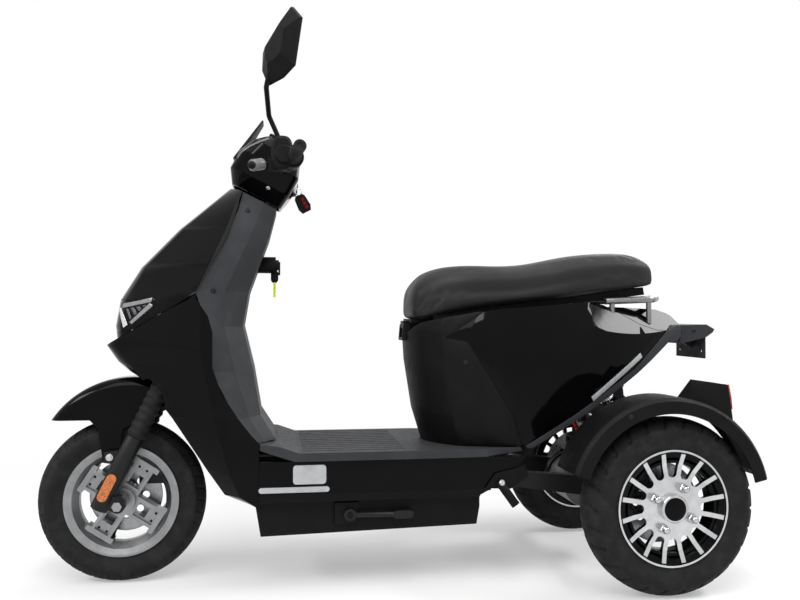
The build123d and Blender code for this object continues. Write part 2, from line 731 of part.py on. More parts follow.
for rib_y in range(-165, 166, RIB_PITCH):
    footboard -= block((625, RISER - 10), (rib_y - 4, rib_y + 4), (FLOOR_TOP - 3, FLOOR_TOP + 5))
save("footboard", footboard)

SKIRT_SECTION = (
    (SKIRT_HALF, FLOOR_BOTTOM - FIT),
    (SKIRT_HALF, SKIRT_BOTTOM + 22),
    (SKIRT_HALF - 14, SKIRT_BOTTOM),
    (120, SKIRT_BOTTOM),
    (120, SKIRT_BOTTOM + WALL),
    (SKIRT_HALF - 16, SKIRT_BOTTOM + WALL),
    (SKIRT_HALF - WALL, SKIRT_BOTTOM + 24),
    (SKIRT_HALF - WALL, FLOOR_BOTTOM - FIT),
)
SKIRT_NOTCH = ((300, 200), (434, 200), (434, 227), (380, 262), (306, 332), (300, 332))
skirt = cross_prism(SKIRT_SECTION, 312, WHEELBASE + SEAM_LINE[-1][0])
skirt -= side_prism(SKIRT_NOTCH, 0, 300)
save("floor_skirts", *both_sides(skirt))

STRIP_T = 1.25
strip_low = Pos(FLOOR_FRONT - 83, SKIRT_HALF + STRIP_T + FIT, SKIRT_BOTTOM + 34) * Rot(90, 0, 0)
strip_low = strip_low * extrude(SlotOverall(170, 13), amount=STRIP_T, both=True)
plate = Pos(FLOOR_FRONT - 120, SKIRT_HALF + STRIP_T + FIT, SKIRT_BOTTOM + 70) * Rot(90, 0, 0)
plate = plate * extrude(RectangleRounded(80, 46, 8), amount=STRIP_T, both=True)

BATTERY_TOP = SKIRT_BOTTOM - FIT
BATTERY_LINE = (
    (FLOOR_FRONT + 12, BATTERY_TOP),
    (FLOOR_FRONT - 3, 135),
    (437, 147),
    (429, 192),
    (429, BATTERY_TOP),
)
STAND_X = (FLOOR_REAR + FLOOR_FRONT) / 2 + 112
STAND_Z = 186.0
STAND_PIN_R = 7.0
battery = side_prism(BATTERY_LINE, -BATTERY_HALF, BATTERY_HALF)
bracket_y = (BATTERY_HALF - 1, BATTERY_HALF + 10)
battery += block((STAND_X - 21, STAND_X + 37), bracket_y, (STAND_Z - 26, STAND_Z + 28))
battery += rod((STAND_X, BATTERY_HALF, STAND_Z), (STAND_X, BATTERY_HALF + 29, STAND_Z), STAND_PIN_R)
save("battery_box", battery)

stand_low = BATTERY_HALF + 10.5
stand_high = BATTERY_HALF + 25
stand_mid = (stand_low + stand_high) / 2
stand = rod((STAND_X, stand_low, STAND_Z), (STAND_X, stand_high, STAND_Z), 15)
stand += rod((STAND_X, stand_mid, STAND_Z), (STAND_X - 123, stand_mid, STAND_Z - 2), 7)
stand_foot = extrude(SlotOverall(52, 20), amount=7, both=True)
stand += Pos(STAND_X - 133, stand_mid, STAND_Z - 3) * Rot(90, 0, 0) * stand_foot
stand -= rod((STAND_X, 0, STAND_Z), (STAND_X, 300, STAND_Z), STAND_PIN_R + FIT)
save("side_stand", stand)

# Rear body

REAR_ROWS = (
    # height, front x, front half, corner x, corner half, middle x, middle half, tail x, tail half
    (340, 552, 92, 480, 134, 250, 165, -150, 60),
    (430, 580, 98, 500, 144, 250, 182, -150, 80),
    (560, 601, 104, 520, 152, 250, 194, -152, 95),
    (640, 606, 106, 530, 152, 240, 188, -152, 98),
    (730, 588, 108, 520, 146, 240, 152, -140, 84),
)
FRONT_ROUND = 34.0


def rear_section(row, inset):
    """A level cut through the rear body."""
    z, x_front, y_front, x_corner, y_corner, x_mid, y_mid, x_tail, y_tail = row
    nose_x = x_front - inset
    front = (x_front - FRONT_ROUND - inset, y_front - 0.5 * inset)
    corner = (x_corner - 0.5 * inset, y_corner - 0.8 * inset)
    middle = (x_mid, y_mid - inset)
    tail = (x_tail + inset, y_tail - 0.6 * inset)
    edges = [
        ThreePointArc((front[0], -front[1]), (nose_x, 0), front),
        Line(front, corner),
        ThreePointArc(corner, middle, tail),
        Line(tail, (tail[0], -tail[1])),
        ThreePointArc((tail[0], -tail[1]), (middle[0], -middle[1]), (corner[0], -corner[1])),
        Line((corner[0], -corner[1]), (front[0], -front[1])),
    ]
    return Plane.XY.offset(z) * make_face(edges)


FACET_AT = (36.0, 186.0, 600.0)
FACET_OUT = (-0.22, 0.80, 0.56)


def facet_space(depth):
    """The space outside the sloping facets at the rear of the side panels, moved in by depth."""
    outward = Vector(*FACET_OUT).normalized()
    start = Vector(*FACET_AT) - outward * depth
    cut = Plane(origin=start, z_dir=outward) * Pos(0, 0, 100) * Box(600, 600, 200)
    return both_sides(cut & block((-400, 130), (0, 400), (400, 900)))


def rear_body(inset, spread):
    """The rear body between the first and last row."""
    body = loft([rear_section(row, inset) for row in stretched(REAR_ROWS[::-1], spread, spread)], ruled=True)
    for cut in facet_space(inset):
        body -= cut
    return body


rear_solid = rear_body(0, 0)
rear_core = rear_body(WALL, 1)
rear_shell = rear_solid - rear_core
BOX_LINE = (
    # x, z of the line between the seat box and the side panels
    (FLOOR_REAR, FLOOR_TOP + FIT),
    (345, 418),
    (464, 612),
    (520, 623),
)
PANEL_TOP = ((423, 688), (384, 695), (135, 716), (82, 709), (46, 692), (-17, 658), (-66, 642))
TRIM_TOP = ((-101, 640), (9, 541), (177, 428), (309, 346))
TRIM_LOW = ((304, 332), (170, 414), (2, 527), (-109, 611), (-139, 611), (-160, 632), (-160, 655), (-118, 655))
TAIL_TOP = ((62, 704), (0, 702), (-85, 698), (-118, 688), (-131, 680), (-151, 657))
HINGE = (600.0, 650.0)
HINGE_R = 5.0
box_edge = [(x + SEAM, z) for x, z in BOX_LINE]
box_edge += [(PANEL_TOP[0][0] + SEAM, PANEL_TOP[0][1] + SEAM), (430, 690), (520, 674), (570, 662)]
box_edge += [(582, 654), (608, 624), (660, 624), (660, FLOOR_TOP + FIT)]
seat_box = rear_shell & side_prism(box_edge, -300, 300)
seat_box += block((520, 640), (-140, 140), (612, 620)) & rear_solid
HINGE_EAR = ((584, 618), (612, 618), (609, 654), (604, 659), (596, 659), (591, 654))
for ear in both_sides(side_prism(HINGE_EAR, 26, 32)):
    seat_box += ear
seat_box += block((560, 612), (-32, 32), (612, 620))
seat_box += rod((HINGE[0], -30, HINGE[1]), (HINGE[0], 30, HINGE[1]), HINGE_R)
save("seat_box", biggest(seat_box))

panel_edge = list(BOX_LINE) + list(PANEL_TOP) + [(x, z + SEAM) for x, z in TRIM_TOP]
panel = biggest(rear_shell & side_prism(panel_edge, 20, 300))
save("side_panels", *both_sides(panel))

TRIM_PROUD = 2.0
trim = (rear_body(-TRIM_PROUD, 0) - rear_core) & side_prism(list(TRIM_TOP) + list(TRIM_LOW), -300, 300)
save("tail_trim", biggest(trim))

tail_edge = list(TAIL_TOP) + [(-118, 655 + SEAM), (-100, 640 + 2 * SEAM)]
tail_edge += [(x, z + SEAM) for x, z in PANEL_TOP[:3:-1]] + [(62, 700 + SEAM)]
tail = rear_solid & side_prism(tail_edge, -300, 300)
tail_hollow = [(x, z - WALL) for x, z in TAIL_TOP] + [(-118, 640), (-100, 620), (62, 620)]
tail -= side_prism(tail_hollow, -300, 300) & rear_core
tail = biggest(tail)
save("tail_panel", tail)

RAIL_HALF = 126.0
RAIL_R = 9.0
RAIL_POINTS = (
    # x, y, z from the left front end round to the rear
    (78, RAIL_HALF, 719),
    (-60, RAIL_HALF - 8, 725),
    (-97, RAIL_HALF - 60, 729),
)
rail_points = list(RAIL_POINTS) + [(x, -y, z) for x, y, z in reversed(RAIL_POINTS)]
rail = pipe(rail_points, 26, RAIL_R)
for post_x, post_y in ((58, RAIL_HALF - 2), (-50, RAIL_HALF - 9)):
    for end in (-1, 1):
        rail += rod((post_x, end * post_y, 660), (post_x, end * post_y, 718), 7)
rail -= rear_solid & block((-300, 300), (-300, 300), (500, 700))
rail -= tail
for side in both_sides(panel):
    rail -= side
save("grab_rail", biggest(rail))

STRIP_LINE = ((133, 459), (139, 470), (-7, 582), (-13, 571))
strip_rear = biggest((rear_body(-3, 0) - rear_body(-FIT, 1)) & side_prism(STRIP_LINE, 20, 300))
save("side_strips", *both_sides(strip_low), *both_sides(plate), *both_sides(strip_rear))

FIN_LINE = (
    (-153, 655),
    (-238, 657),
    (-REAR_OVERHANG, 644),
    (-256, 634),
    (-226, 618),
    (-161, 604),
    (-155, 610),
    (-163, 632),
)
PLATE_X = -234.0
PLATE_Z = 582.0
PLATE_BOLTS = 60.0
fin = side_prism(FIN_LINE, -85, 85)
holder = block((PLATE_X - 4, PLATE_X), (-80, 80), (PLATE_Z - 20, 632))
gusset = [(PLATE_X - 1, 625), (PLATE_X - 1, 590), (PLATE_X + 40, 612), (PLATE_X + 40, 622)]
holder += side_prism(gusset, -8, 8)
for end in (-1, 1):
    holder -= rod((PLATE_X - 10, end * PLATE_BOLTS, PLATE_Z), (PLATE_X + 10, end * PLATE_BOLTS, PLATE_Z), 3.5)
fin += holder
fin -= rear_body(-TRIM_PROUD - FIT, 1)
fin = biggest(fin)
save("tail_fin", fin)

# Seat and storage

SEAT_ROWS = (
    # x, underside, top, half width, corner radius
    (610, 684, 736, 52, 20),
    (588, 670, 771, 90, 32),
    (520, 682, 811, 120, 38),
    (420, 698, 815, 132, 40),
    (300, 713, 815, 140, 40),
    (163, 730, 840, 150, 42),
    (20, 751, 849, 148, 38),
    (-50, 760, 836, 132, 28),
    (-70, 765, 806, 112, 18),
)
BASE_HALF = 100.0
BASE_TOP = ((594, 660), (594, 700), (420, 708), (163, 740), (-40, 770))
BASE_LOW = ((-46, 738), (64, 723), (163, 713), (420, 684), (560, 662))


def seat_section(row):
    """A cross-section of the cushion."""
    x, low, high, half, corner = row
    plane = Plane(origin=(x, 0, (low + high) / 2), x_dir=(0, 1, 0), z_dir=(1, 0, 0))
    return plane * RectangleRounded(2 * half, high - low, corner)


wider = [(x, low - FIT, high + FIT, half + FIT, corner + FIT) for x, low, high, half, corner in SEAT_ROWS]
cushion_space = loft([seat_section(row) for row in wider])
base = biggest(side_prism(list(BASE_TOP) + list(BASE_LOW), -BASE_HALF, BASE_HALF) - cushion_space)
base -= block((540, 620), (-BASE_HALF - 1, -60), (600, 720))
base -= block((540, 620), (60, BASE_HALF + 1), (600, 720))
base += side_prism([(592, 646), (596, 641), (604, 641), (608, 646), (608, 664), (592, 666)], -24, 24)
base -= rod((HINGE[0], -60, HINGE[1]), (HINGE[0], 60, HINGE[1]), HINGE_R + FIT)
base -= cushion_space
save("seat_cushion", loft([seat_section(row) for row in SEAT_ROWS]))
save("seat_base", biggest(base))

TUB_HALF = 112.0
TUB_REAR = 210.0
TUB_FRONT = 515.0
TUB_FLOOR = 440.0
TUB_RIM = ((180, 698), (420, 676), (TUB_FRONT, 652))
tub_line = [(TUB_REAR, TUB_FLOOR), (TUB_FRONT, TUB_FLOOR), (TUB_FRONT, 652), (420, 676), (TUB_REAR, 695)]
tub = side_prism(tub_line, -TUB_HALF, TUB_HALF)
tub_inside = ((TUB_REAR + WALL, TUB_FRONT - WALL), (-TUB_HALF + WALL, TUB_HALF - WALL))
tub -= block(*tub_inside, (TUB_FLOOR + WALL, 800))
rim_line = list(TUB_RIM) + [(x, z - WALL) for x, z in reversed(TUB_RIM)]
flange = side_prism(rim_line, -300, 300) & rear_body(WALL + FIT, 1)
flange -= block(*tub_inside, (600, 800))
save("storage_tub", biggest(tub + flange))

# Rear fenders and lamps

ARC_X = 14.0
ARC_Z = REAR_TYRE_R + 12
ARC_R = REAR_TYRE_R + 39
ARC_FROM = 18.0
ARC_TO = 167.0
FENDER_IN = REAR_HALF - 58
FENDER_OUT = REAR_HALF + 64
SKIN = 4.0
arc_profile = [
    (ARC_R - 14, FENDER_IN),
    (ARC_R, FENDER_IN),
    (ARC_R, FENDER_OUT - 10),
    (ARC_R - 8, FENDER_OUT),
    (ARC_R - 38, FENDER_OUT),
    (ARC_R - 38, FENDER_OUT - SKIN),
    (ARC_R - 10, FENDER_OUT - SKIN),
    (ARC_R - SKIN, FENDER_OUT - 12),
    (ARC_R - SKIN, FENDER_IN + SKIN),
    (ARC_R - 14, FENDER_IN + SKIN),
]
arc = revolve(outline(arc_profile), Axis((0, 0, 0), (0, -1, 0)), ARC_TO - ARC_FROM)
fender_rear = Pos(ARC_X, 0, ARC_Z) * Rot(0, -ARC_FROM, 0) * arc
AXLE_END = REAR_HALF - 70
stay_y = AXLE_END + 10.35
stay = block((-2, 26), (stay_y - 2.15, stay_y + 2.15), (REAR_TYRE_R, ARC_Z + ARC_R - 6))
stay += Pos(0, stay_y, REAR_TYRE_R) * Rot(90, 0, 0) * Cylinder(40, 4.3)
stay -= Pos(0, stay_y, REAR_TYRE_R) * Rot(90, 0, 0) * Cylinder(SHAFT_R + 6, 40)
save("rear_fenders", *both_sides(fender_rear + stay))

LAMP_ANGLE = radians(122)
LAMP_AT = (ARC_X + ARC_R * cos(LAMP_ANGLE), ARC_Z + ARC_R * sin(LAMP_ANGLE))
LAMP_IN = REAR_HALF - 36
LAMP_OUT = REAR_HALF + 36
HOUSE_LINE = ((86, 14), (37, 75), (-22, 67), (-28, 35), (-36, -26), (62, -16))
LENS_LINE = ((-22.7, 65), (-28.7, 35), (-32.3, 6), (-38.3, 6), (-35.3, 37), (-29.3, 67))


def on_fender(points):
    """Side-view points measured from the lamp's place on the rear fender."""
    return [(LAMP_AT[0] + x, LAMP_AT[1] + z) for x, z in points]


drum = Pos(ARC_X, 0, ARC_Z) * Rot(90, 0, 0) * Cylinder(ARC_R + FIT, 2000)
house = biggest(side_prism(on_fender(HOUSE_LINE), LAMP_IN, LAMP_OUT) - drum)
save("lamp_housings", *both_sides(house))
lens = side_prism(on_fender(LENS_LINE), LAMP_IN + 6, LAMP_OUT - 6) - drum
tail_lens = side_prism([(-262, 643), (-256.6, 633.4), (-243, 626.2), (-246, 621), (-258, 629)], -70, 70) - fin
save("rear_lenses", *both_sides(lens), biggest(tail_lens))

# Rear axle, motor and springs

MOTOR_X = 118.0
MOTOR_Z = REAR_TYRE_R + 10
CASE_OUT = 56.0
CASE_IN = 32.0
CASE_R = 66.0
ARM_HALF = 138.0
PIVOT = (330.0, 258.0)
PIVOT_R = 18.0
SHOCK_LOW = (22.0, 88.0, REAR_TYRE_R + 41)
SHOCK_HIGH = (82.0, 88.0, 526.0)
SHOCK_PIN_R = 9.0
rear_axle = rod((0, -AXLE_END, REAR_TYRE_R), (0, AXLE_END, REAR_TYRE_R), 27)
for end in (-1, 1):
    rear_axle += rod((0, end * AXLE_END, REAR_TYRE_R), (0, end * (AXLE_END + 8), REAR_TYRE_R), 44)
    rear_axle += rod((0, end * AXLE_END, REAR_TYRE_R), (0, end * (bore_end_y - 1), REAR_TYRE_R), SHAFT_R)
rear_axle += rod((0, -CASE_OUT, REAR_TYRE_R), (0, 50, REAR_TYRE_R), CASE_R)
rear_axle += block((0, MOTOR_X), (-CASE_OUT, -CASE_IN), (REAR_TYRE_R - 50, REAR_TYRE_R + 50))
rear_axle += rod((MOTOR_X, -CASE_OUT, MOTOR_Z), (MOTOR_X, -CASE_IN, MOTOR_Z), CASE_R)
arm_line = [(-10, REAR_TYRE_R - 27), (4, REAR_TYRE_R + 57), (40, REAR_TYRE_R + 57), (60, REAR_TYRE_R + 37)]
arm_line += [(PIVOT[0] - 12, PIVOT[1] + 18), (PIVOT[0] + 10, PIVOT[1] + 18), (PIVOT[0] + 12, PIVOT[1] - 18)]
arm_line += [(60, REAR_TYRE_R - 19)]
for arm in both_sides(side_prism(arm_line, ARM_HALF - 14, ARM_HALF + 14)):
    rear_axle += arm
rear_axle += rod((PIVOT[0], -ARM_HALF, PIVOT[1]), (PIVOT[0], ARM_HALF, PIVOT[1]), PIVOT_R)
for end in (-1, 1):
    pin_from = (SHOCK_LOW[0], end * 62, SHOCK_LOW[2])
    rear_axle += rod(pin_from, (SHOCK_LOW[0], end * ARM_HALF, SHOCK_LOW[2]), SHOCK_PIN_R)
jaw = block((-112, -64), (AXLE_END - 6, hub_inner_y + 14), (REAR_TYRE_R - 26, REAR_TYRE_R + 40))
jaw = jaw & (Pos(0, AXLE_END, REAR_TYRE_R) * Rot(90, 0, 0) * Cylinder(RIM_WELL_R - RIM_SKIN - 5, 400))
jaw += block((-80, 0), (AXLE_END - 6, AXLE_END + 6), (REAR_TYRE_R - 14, REAR_TYRE_R + 14))
disc_space = Rot(90, 0, 0) * Cylinder(REAR_DISC_R + 5, DISC_T + 10)
jaw -= Pos(0, hub_inner_y - FIT - DISC_T / 2, REAR_TYRE_R) * disc_space
for brake in both_sides(jaw):
    rear_axle += brake
save("rear_axle", biggest(rear_axle))

motor = rod((MOTOR_X, -CASE_IN + FIT, MOTOR_Z), (MOTOR_X, 90, MOTOR_Z), CASE_R - 4)
motor -= rod((0, -100, REAR_TYRE_R), (0, 100, REAR_TYRE_R), CASE_R + FIT)
save("drive_motor", motor)

shock_axis = Vector(*SHOCK_HIGH) - Vector(*SHOCK_LOW)
SEAT_R = 27.0
LOW_SEAT = 0.15
HIGH_SEAT = 0.88
SEAT_T = 0.03


def along_shock(share):
    """A point between the lower and upper shock mounts."""
    return tuple(Vector(*SHOCK_LOW) + shock_axis * share)


shock = rod(along_shock(0.0), along_shock(0.52), 15) + rod(along_shock(0.5), along_shock(1.0), 7)
shock += rod(along_shock(LOW_SEAT - SEAT_T), along_shock(LOW_SEAT), SEAT_R)
shock += rod(along_shock(HIGH_SEAT), along_shock(HIGH_SEAT + SEAT_T), SEAT_R)
for eye_x, eye_y, eye_z in (SHOCK_LOW, SHOCK_HIGH):
    shock += rod((eye_x, eye_y - 9, eye_z), (eye_x, eye_y + 9, eye_z), 15)
    shock -= rod((eye_x, eye_y - 40, eye_z), (eye_x, eye_y + 40, eye_z), SHOCK_PIN_R + FIT)
save("rear_shocks", *both_sides(shock))

SPRING_R = 26.0
SPRING_IN = 16.0
COILS = 7
spring_low = LOW_SEAT * shock_axis.length + FIT
spring_high = HIGH_SEAT * shock_axis.length - FIT
coil_pitch = (spring_high - spring_low) / COILS
spring_line = [(SPRING_IN, spring_low)]
for index in range(COILS):
    spring_line.append((SPRING_R - 5, spring_low + index * coil_pitch))
    spring_line.append((SPRING_R, spring_low + (index + 0.3) * coil_pitch))
    spring_line.append((SPRING_R, spring_low + (index + 0.7) * coil_pitch))
spring_line += [(SPRING_R - 5, spring_high), (SPRING_IN, spring_high)]
spring = revolve(Plane.XZ * outline(spring_line), Axis.Z)
save("shock_springs", *both_sides(Plane(origin=SHOCK_LOW, z_dir=shock_axis) * spring))

# Foot pegs

PEG_IN = SKIRT_HALF + 2
PEG_LINE = ((400, 283), (322, 300), (314, 274), (360, 244), (426, 247))
peg = side_prism(PEG_LINE, PEG_IN, PEG_IN + 6)
peg += rod((392, PEG_IN + 4, 264), (352, PEG_IN + 22, 206), 11) & block((200, 500), (PEG_IN, 300), (150, 350))
save("foot_pegs", *both_sides(peg))

# Frame

RAIL_Y = 95.0
RAIL_FRONT = FLOOR_FRONT + 26
HEAD_LOW = CROWN_H + CROWN_T + 39
HEAD_HIGH = TOP_H - 138
frame = None
for end in (-1, 1):
    rail_span = (end * RAIL_Y - 15, end * RAIL_Y + 15)
    side_rail = block((345, RAIL_FRONT), rail_span, (284, FLOOR_BOTTOM - FIT))
    for post in (400, 620, RAIL_FRONT - 170, RAIL_FRONT - 30):
        side_rail += block((post - 12, post + 12), rail_span, (SKIRT_BOTTOM, 290))
    rise = [(358, end * RAIL_Y, 300), (300, end * 126, 400), (150, end * 126, 500), (-80, end * 70, 622)]
    side_rail += pipe(rise, 40, 11)
    side_rail += rod((360, end * RAIL_Y, 300), (PIVOT[0], end * 112, PIVOT[1]), 13)
    frame = side_rail if frame is None else frame + side_rail
for cross_x in (400, RAIL_FRONT - 30):
    frame += block((cross_x - 12, cross_x + 12), (-RAIL_Y, RAIL_Y), (240, 270))
frame += rod((SHOCK_HIGH[0], -112, SHOCK_HIGH[2]), (SHOCK_HIGH[0], 112, SHOCK_HIGH[2]), SHOCK_PIN_R)
frame += rod((372, -PEG_IN + FIT, 250), (372, PEG_IN - FIT, 250), 9)
frame += block((362, 412), (-RAIL_Y - 10, RAIL_Y + 10), (240, 262))
frame += rod((-78, -78, 621), (-78, 78, 621), 13)
frame += STEER * Pos(0, 0, (HEAD_LOW + HEAD_HIGH) / 2) * Cylinder(28, HEAD_HIGH - HEAD_LOW)
down_tube = [(WHEELBASE - 234, 0, 700), (WHEELBASE - 280, 0, 480), (RAIL_FRONT + 8, 0, 300)]
frame += pipe(down_tube, 60, 19)
frame += block((RAIL_FRONT - 4, RAIL_FRONT + 20), (-RAIL_Y - 15, RAIL_Y + 15), (284, FLOOR_BOTTOM - 2))
frame -= STEER * Pos(0, 0, 800) * Cylinder(STEM_R + FIT, 800)
frame -= rod((PIVOT[0], -200, PIVOT[1]), (PIVOT[0], 200, PIVOT[1]), PIVOT_R + FIT)
save("frame", biggest(frame))
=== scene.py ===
"""Visual model of a three-wheeled electric scooter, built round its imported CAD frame.

Lengths are metres in the frame's own axes: +X forward, +Y to the rider's left, +Z up.
"""
import json
import math

import bmesh
import bpy
from bpy.props import FloatProperty, FloatVectorProperty, IntProperty, PointerProperty
from mathutils import Matrix, Vector


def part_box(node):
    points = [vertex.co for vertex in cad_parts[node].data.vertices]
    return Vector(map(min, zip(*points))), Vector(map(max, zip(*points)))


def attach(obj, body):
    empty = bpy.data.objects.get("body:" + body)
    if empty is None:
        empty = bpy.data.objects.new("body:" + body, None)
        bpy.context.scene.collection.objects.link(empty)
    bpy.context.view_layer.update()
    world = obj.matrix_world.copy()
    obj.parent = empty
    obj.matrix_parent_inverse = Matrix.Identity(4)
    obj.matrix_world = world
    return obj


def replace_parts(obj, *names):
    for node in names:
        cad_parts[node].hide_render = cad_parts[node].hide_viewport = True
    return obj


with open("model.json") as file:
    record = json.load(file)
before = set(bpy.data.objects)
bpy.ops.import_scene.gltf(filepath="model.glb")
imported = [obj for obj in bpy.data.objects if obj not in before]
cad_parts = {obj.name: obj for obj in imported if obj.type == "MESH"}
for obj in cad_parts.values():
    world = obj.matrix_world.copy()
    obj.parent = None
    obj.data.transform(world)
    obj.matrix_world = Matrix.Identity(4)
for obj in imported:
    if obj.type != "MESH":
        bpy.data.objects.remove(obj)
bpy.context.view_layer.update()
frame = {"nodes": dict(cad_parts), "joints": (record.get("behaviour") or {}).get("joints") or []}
NODES = frame["nodes"]
JOINTS = {joint["name"]: joint for joint in frame["joints"]}
REAR_AXLE_X = JOINTS["rear_wheel_left_spin"]["pos_m"][0]

# Rear rims: number of spokes, half a spoke's bright face, and radii where the bright faces change; beyond
# SLOT_END the outward faces between the spokes take black paint that also stands in for shade in the recesses
# (painted shade)
SPOKES = 16
SPOKE_HALF = 0.0057
SLOT_END = 0.1035
LIP_START = 0.1365
HUB_RADIUS = 0.034

bl_info = {
    "name": "Electric Trike",
    "version": (1, 0, 0),
    "blender": (4, 5, 0),
    "location": "View3D > Sidebar > Trike",
    "description": "Finishes, tyres, seat, lamps and fittings of a three-wheeled electric scooter",
    "category": "Object",
}


# Sizes and colours


def colour(name, description, default):
    """A colour property in linear RGB."""
    return FloatVectorProperty(
        name=name, description=description, default=default, size=3, min=0.0, max=1.0, subtype="COLOR"
    )


def length(name, description, default):
    """A length property in metres."""
    return FloatProperty(
        name=name, description=description, default=default, min=0.0, unit="LENGTH", subtype="DISTANCE"
    )


def repeats(name, description, default):
    """A count of what repeats round a wheel."""
    return IntProperty(name=name, description=description, default=default, min=8)


class TrikeColours(bpy.types.PropertyGroup):
    """Colours of the finishes"""

    panel: colour("Panels", "Glossy body panels", (0.0014, 0.0014, 0.0018))
    moulding: colour("Black mouldings", "Grained black plastic", (0.0034, 0.0034, 0.0038))
    shield: colour("Grey mouldings", "Grained dark-grey plastic", (0.030, 0.031, 0.034))
    vinyl: colour("Seat vinyl", "Saddle cover", (0.0068, 0.0068, 0.0076))
    paint: colour("Frame paint", "Satin black paint on steel", (0.007, 0.007, 0.0075))
    rubber: colour("Rubber", "Tyres, grips and gaiters", (0.010, 0.010, 0.0105))
    silver: colour("Cast silver", "Front rim", (0.27, 0.275, 0.28))
    machined: colour("Machined alloy", "Rear rim faces", (0.56, 0.57, 0.58))
    # black paint between the rear spokes, which there also serves as painted shade in the rim's recesses
    pocket: colour("Rim pockets", "Black paint between the spokes", (0.006, 0.006, 0.0065))
    strip: colour("Silver strips", "Side strips and plates", (0.40, 0.41, 0.42))
    amber: colour("Amber", "Fork reflectors", (0.56, 0.135, 0.004))
    red: colour("Red", "Rear lenses and cable", (0.42, 0.008, 0.008))
    tag: colour("Key tag", "Strip on the ignition key", (0.62, 0.75, 0.02))
    floor: colour("Floor", "Studio floor", (0.82, 0.82, 0.82))


class TrikeSizes(bpy.types.PropertyGroup):
    """Sizes of the added detail"""

    tread_depth: length("Tread depth", "Depth of the tyre grooves", 0.0050)
    front_blocks: repeats("Front blocks", "Tread blocks round the front tyre", 40)
    rear_blocks: repeats("Rear blocks", "Tread blocks round a rear tyre", 26)
    front_rim_width: length("Front rim width", "Width over the flanges", 0.066)
    rear_rim_width: length("Rear rim width", "Width over the flanges", 0.080)
    flange_radius: length("Flange radius", "Outer radius of the rims", 0.141)
    coil_wire: length("Spring wire", "Diameter of the spring wire", 0.0085)
    coil_turns: FloatProperty(name="Coils", description="Turns of each spring", default=7.5, min=1.0)
    lug_circle: length("Lug circle", "Radius of the wheel-nut circle", 0.054)
    screw: length("Screw", "Head radius of the panel screws", 0.0055)
    edge: length("Edge", "Rounding of panel edges", 0.0016)


def colours():
    """The scene's colours."""
    return bpy.context.scene.trike_colours


def sizes():
    """The scene's sizes."""
    return bpy.context.scene.trike_sizes


# Materials


def linked(tree, kind, **inputs):
    """A node with values or links on its named inputs."""
    node = tree.nodes.new(kind)
    for key, value in inputs.items():
        socket = node.inputs[int(key[1:])] if key[0] == "i" and key[1:].isdigit() else node.inputs[key]
        if isinstance(value, bpy.types.NodeSocket):
            tree.links.new(value, socket)
        else:
            socket.default_value = value
    return node


def start_material(name, **sockets):
    """A new material, its node tree, its shader and its object coordinates."""
    material = bpy.data.materials.new(name)
    material.use_nodes = True
    tree = material.node_tree
    shader = tree.nodes["Principled BSDF"]
    for key, value in sockets.items():
        shader.inputs[key.replace("_", " ")].default_value = value
    place = tree.nodes.new("ShaderNodeTexCoord").outputs["Object"]
    return material, tree, shader, place


def noise(tree, place, scale, detail=4.0):
    """Soft noise between 0 and 1."""
    return linked(tree, "ShaderNodeTexNoise", Vector=place, Scale=scale, Detail=detail).outputs["Fac"]


def blended(tree, factor, low, high, start=0.3, end=0.7):
    """A colour that runs from low to high with the factor."""
    ramp = tree.nodes.new("ShaderNodeValToRGB")
    ramp.color_ramp.elements[0].position = start
    ramp.color_ramp.elements[0].color = (*low, 1.0)
    ramp.color_ramp.elements[1].position = end
    ramp.color_ramp.elements[1].color = (*high, 1.0)
    tree.links.new(factor, ramp.inputs["Fac"])
    return ramp.outputs["Color"]


def spread(tree, factor, low, high):
    """A value that runs from low to high with the factor."""
    node = linked(tree, "ShaderNodeMapRange", Value=factor)
    node.inputs["From Min"].default_value = 0.25
    node.inputs["From Max"].default_value = 0.75
    node.inputs["To Min"].default_value = low
    node.inputs["To Max"].default_value = high
    return node.outputs["Result"]


def figure(tree, operation, first, second=0.0):
    """The result of one sum on values."""
    node = linked(tree, "ShaderNodeMath", i0=first, i1=second)
    node.operation = operation
    return node.outputs["Value"]


def arrow(tree, operation, first, second=(0.0, 0.0, 0.0)):
    """The results of one sum on vectors."""
    node = linked(tree, "ShaderNodeVectorMath", i0=first, i1=second)
    node.operation = operation
    return node.outputs


def surface(tree, shader, tone, rough):
    """Links a colour and a roughness to the shader."""
    tree.links.new(tone, shader.inputs["Base Color"])
    tree.links.new(rough, shader.inputs["Roughness"])


def roughen(tree, shader, height, distance, strength):
    """Surface relief from a height."""
    bump = linked(tree, "ShaderNodeBump", Height=height, Distance=distance, Strength=strength)
    tree.links.new(bump.outputs["Normal"], shader.inputs["Normal"])


def brighter(base, gain, lift=0.0):
    """A colour scaled and lifted."""
    return tuple(min(1.0, channel * gain + lift) for channel in base)


def coated_panel(name, base):
    """Glossy moulded plastic with fine dust and a faint ripple."""
    material, tree, shader, place = start_material(name, IOR=1.46, Specular_IOR_Level=0.10)
    dust = noise(tree, place, 9.0, 6.0)
    tone = blended(tree, dust, base, brighter(base, 1.4, 0.0006), 0.45, 0.8)
    surface(tree, shader, tone, spread(tree, noise(tree, place, 30.0), 0.04, 0.11))
    roughen(tree, shader, noise(tree, place, 26.0, 1.0), 0.0006, 0.06)
    return material


def grained_plastic(name, base, rough=(0.42, 0.58)):
    """Moulded plastic with a fine leathered grain and scuffs."""
    material, tree, shader, place = start_material(name, Specular_IOR_Level=0.11)
    scuff = noise(tree, place, 18.0, 8.0)
    tone = blended(tree, scuff, base, brighter(base, 1.35, 0.001), 0.45, 0.85)
    surface(tree, shader, tone, spread(tree, noise(tree, place, 60.0), *rough))
    grain = linked(tree, "ShaderNodeTexVoronoi", Vector=place, Scale=1500.0).outputs["Distance"]
    roughen(tree, shader, grain, 0.00022, 0.5)
    return material


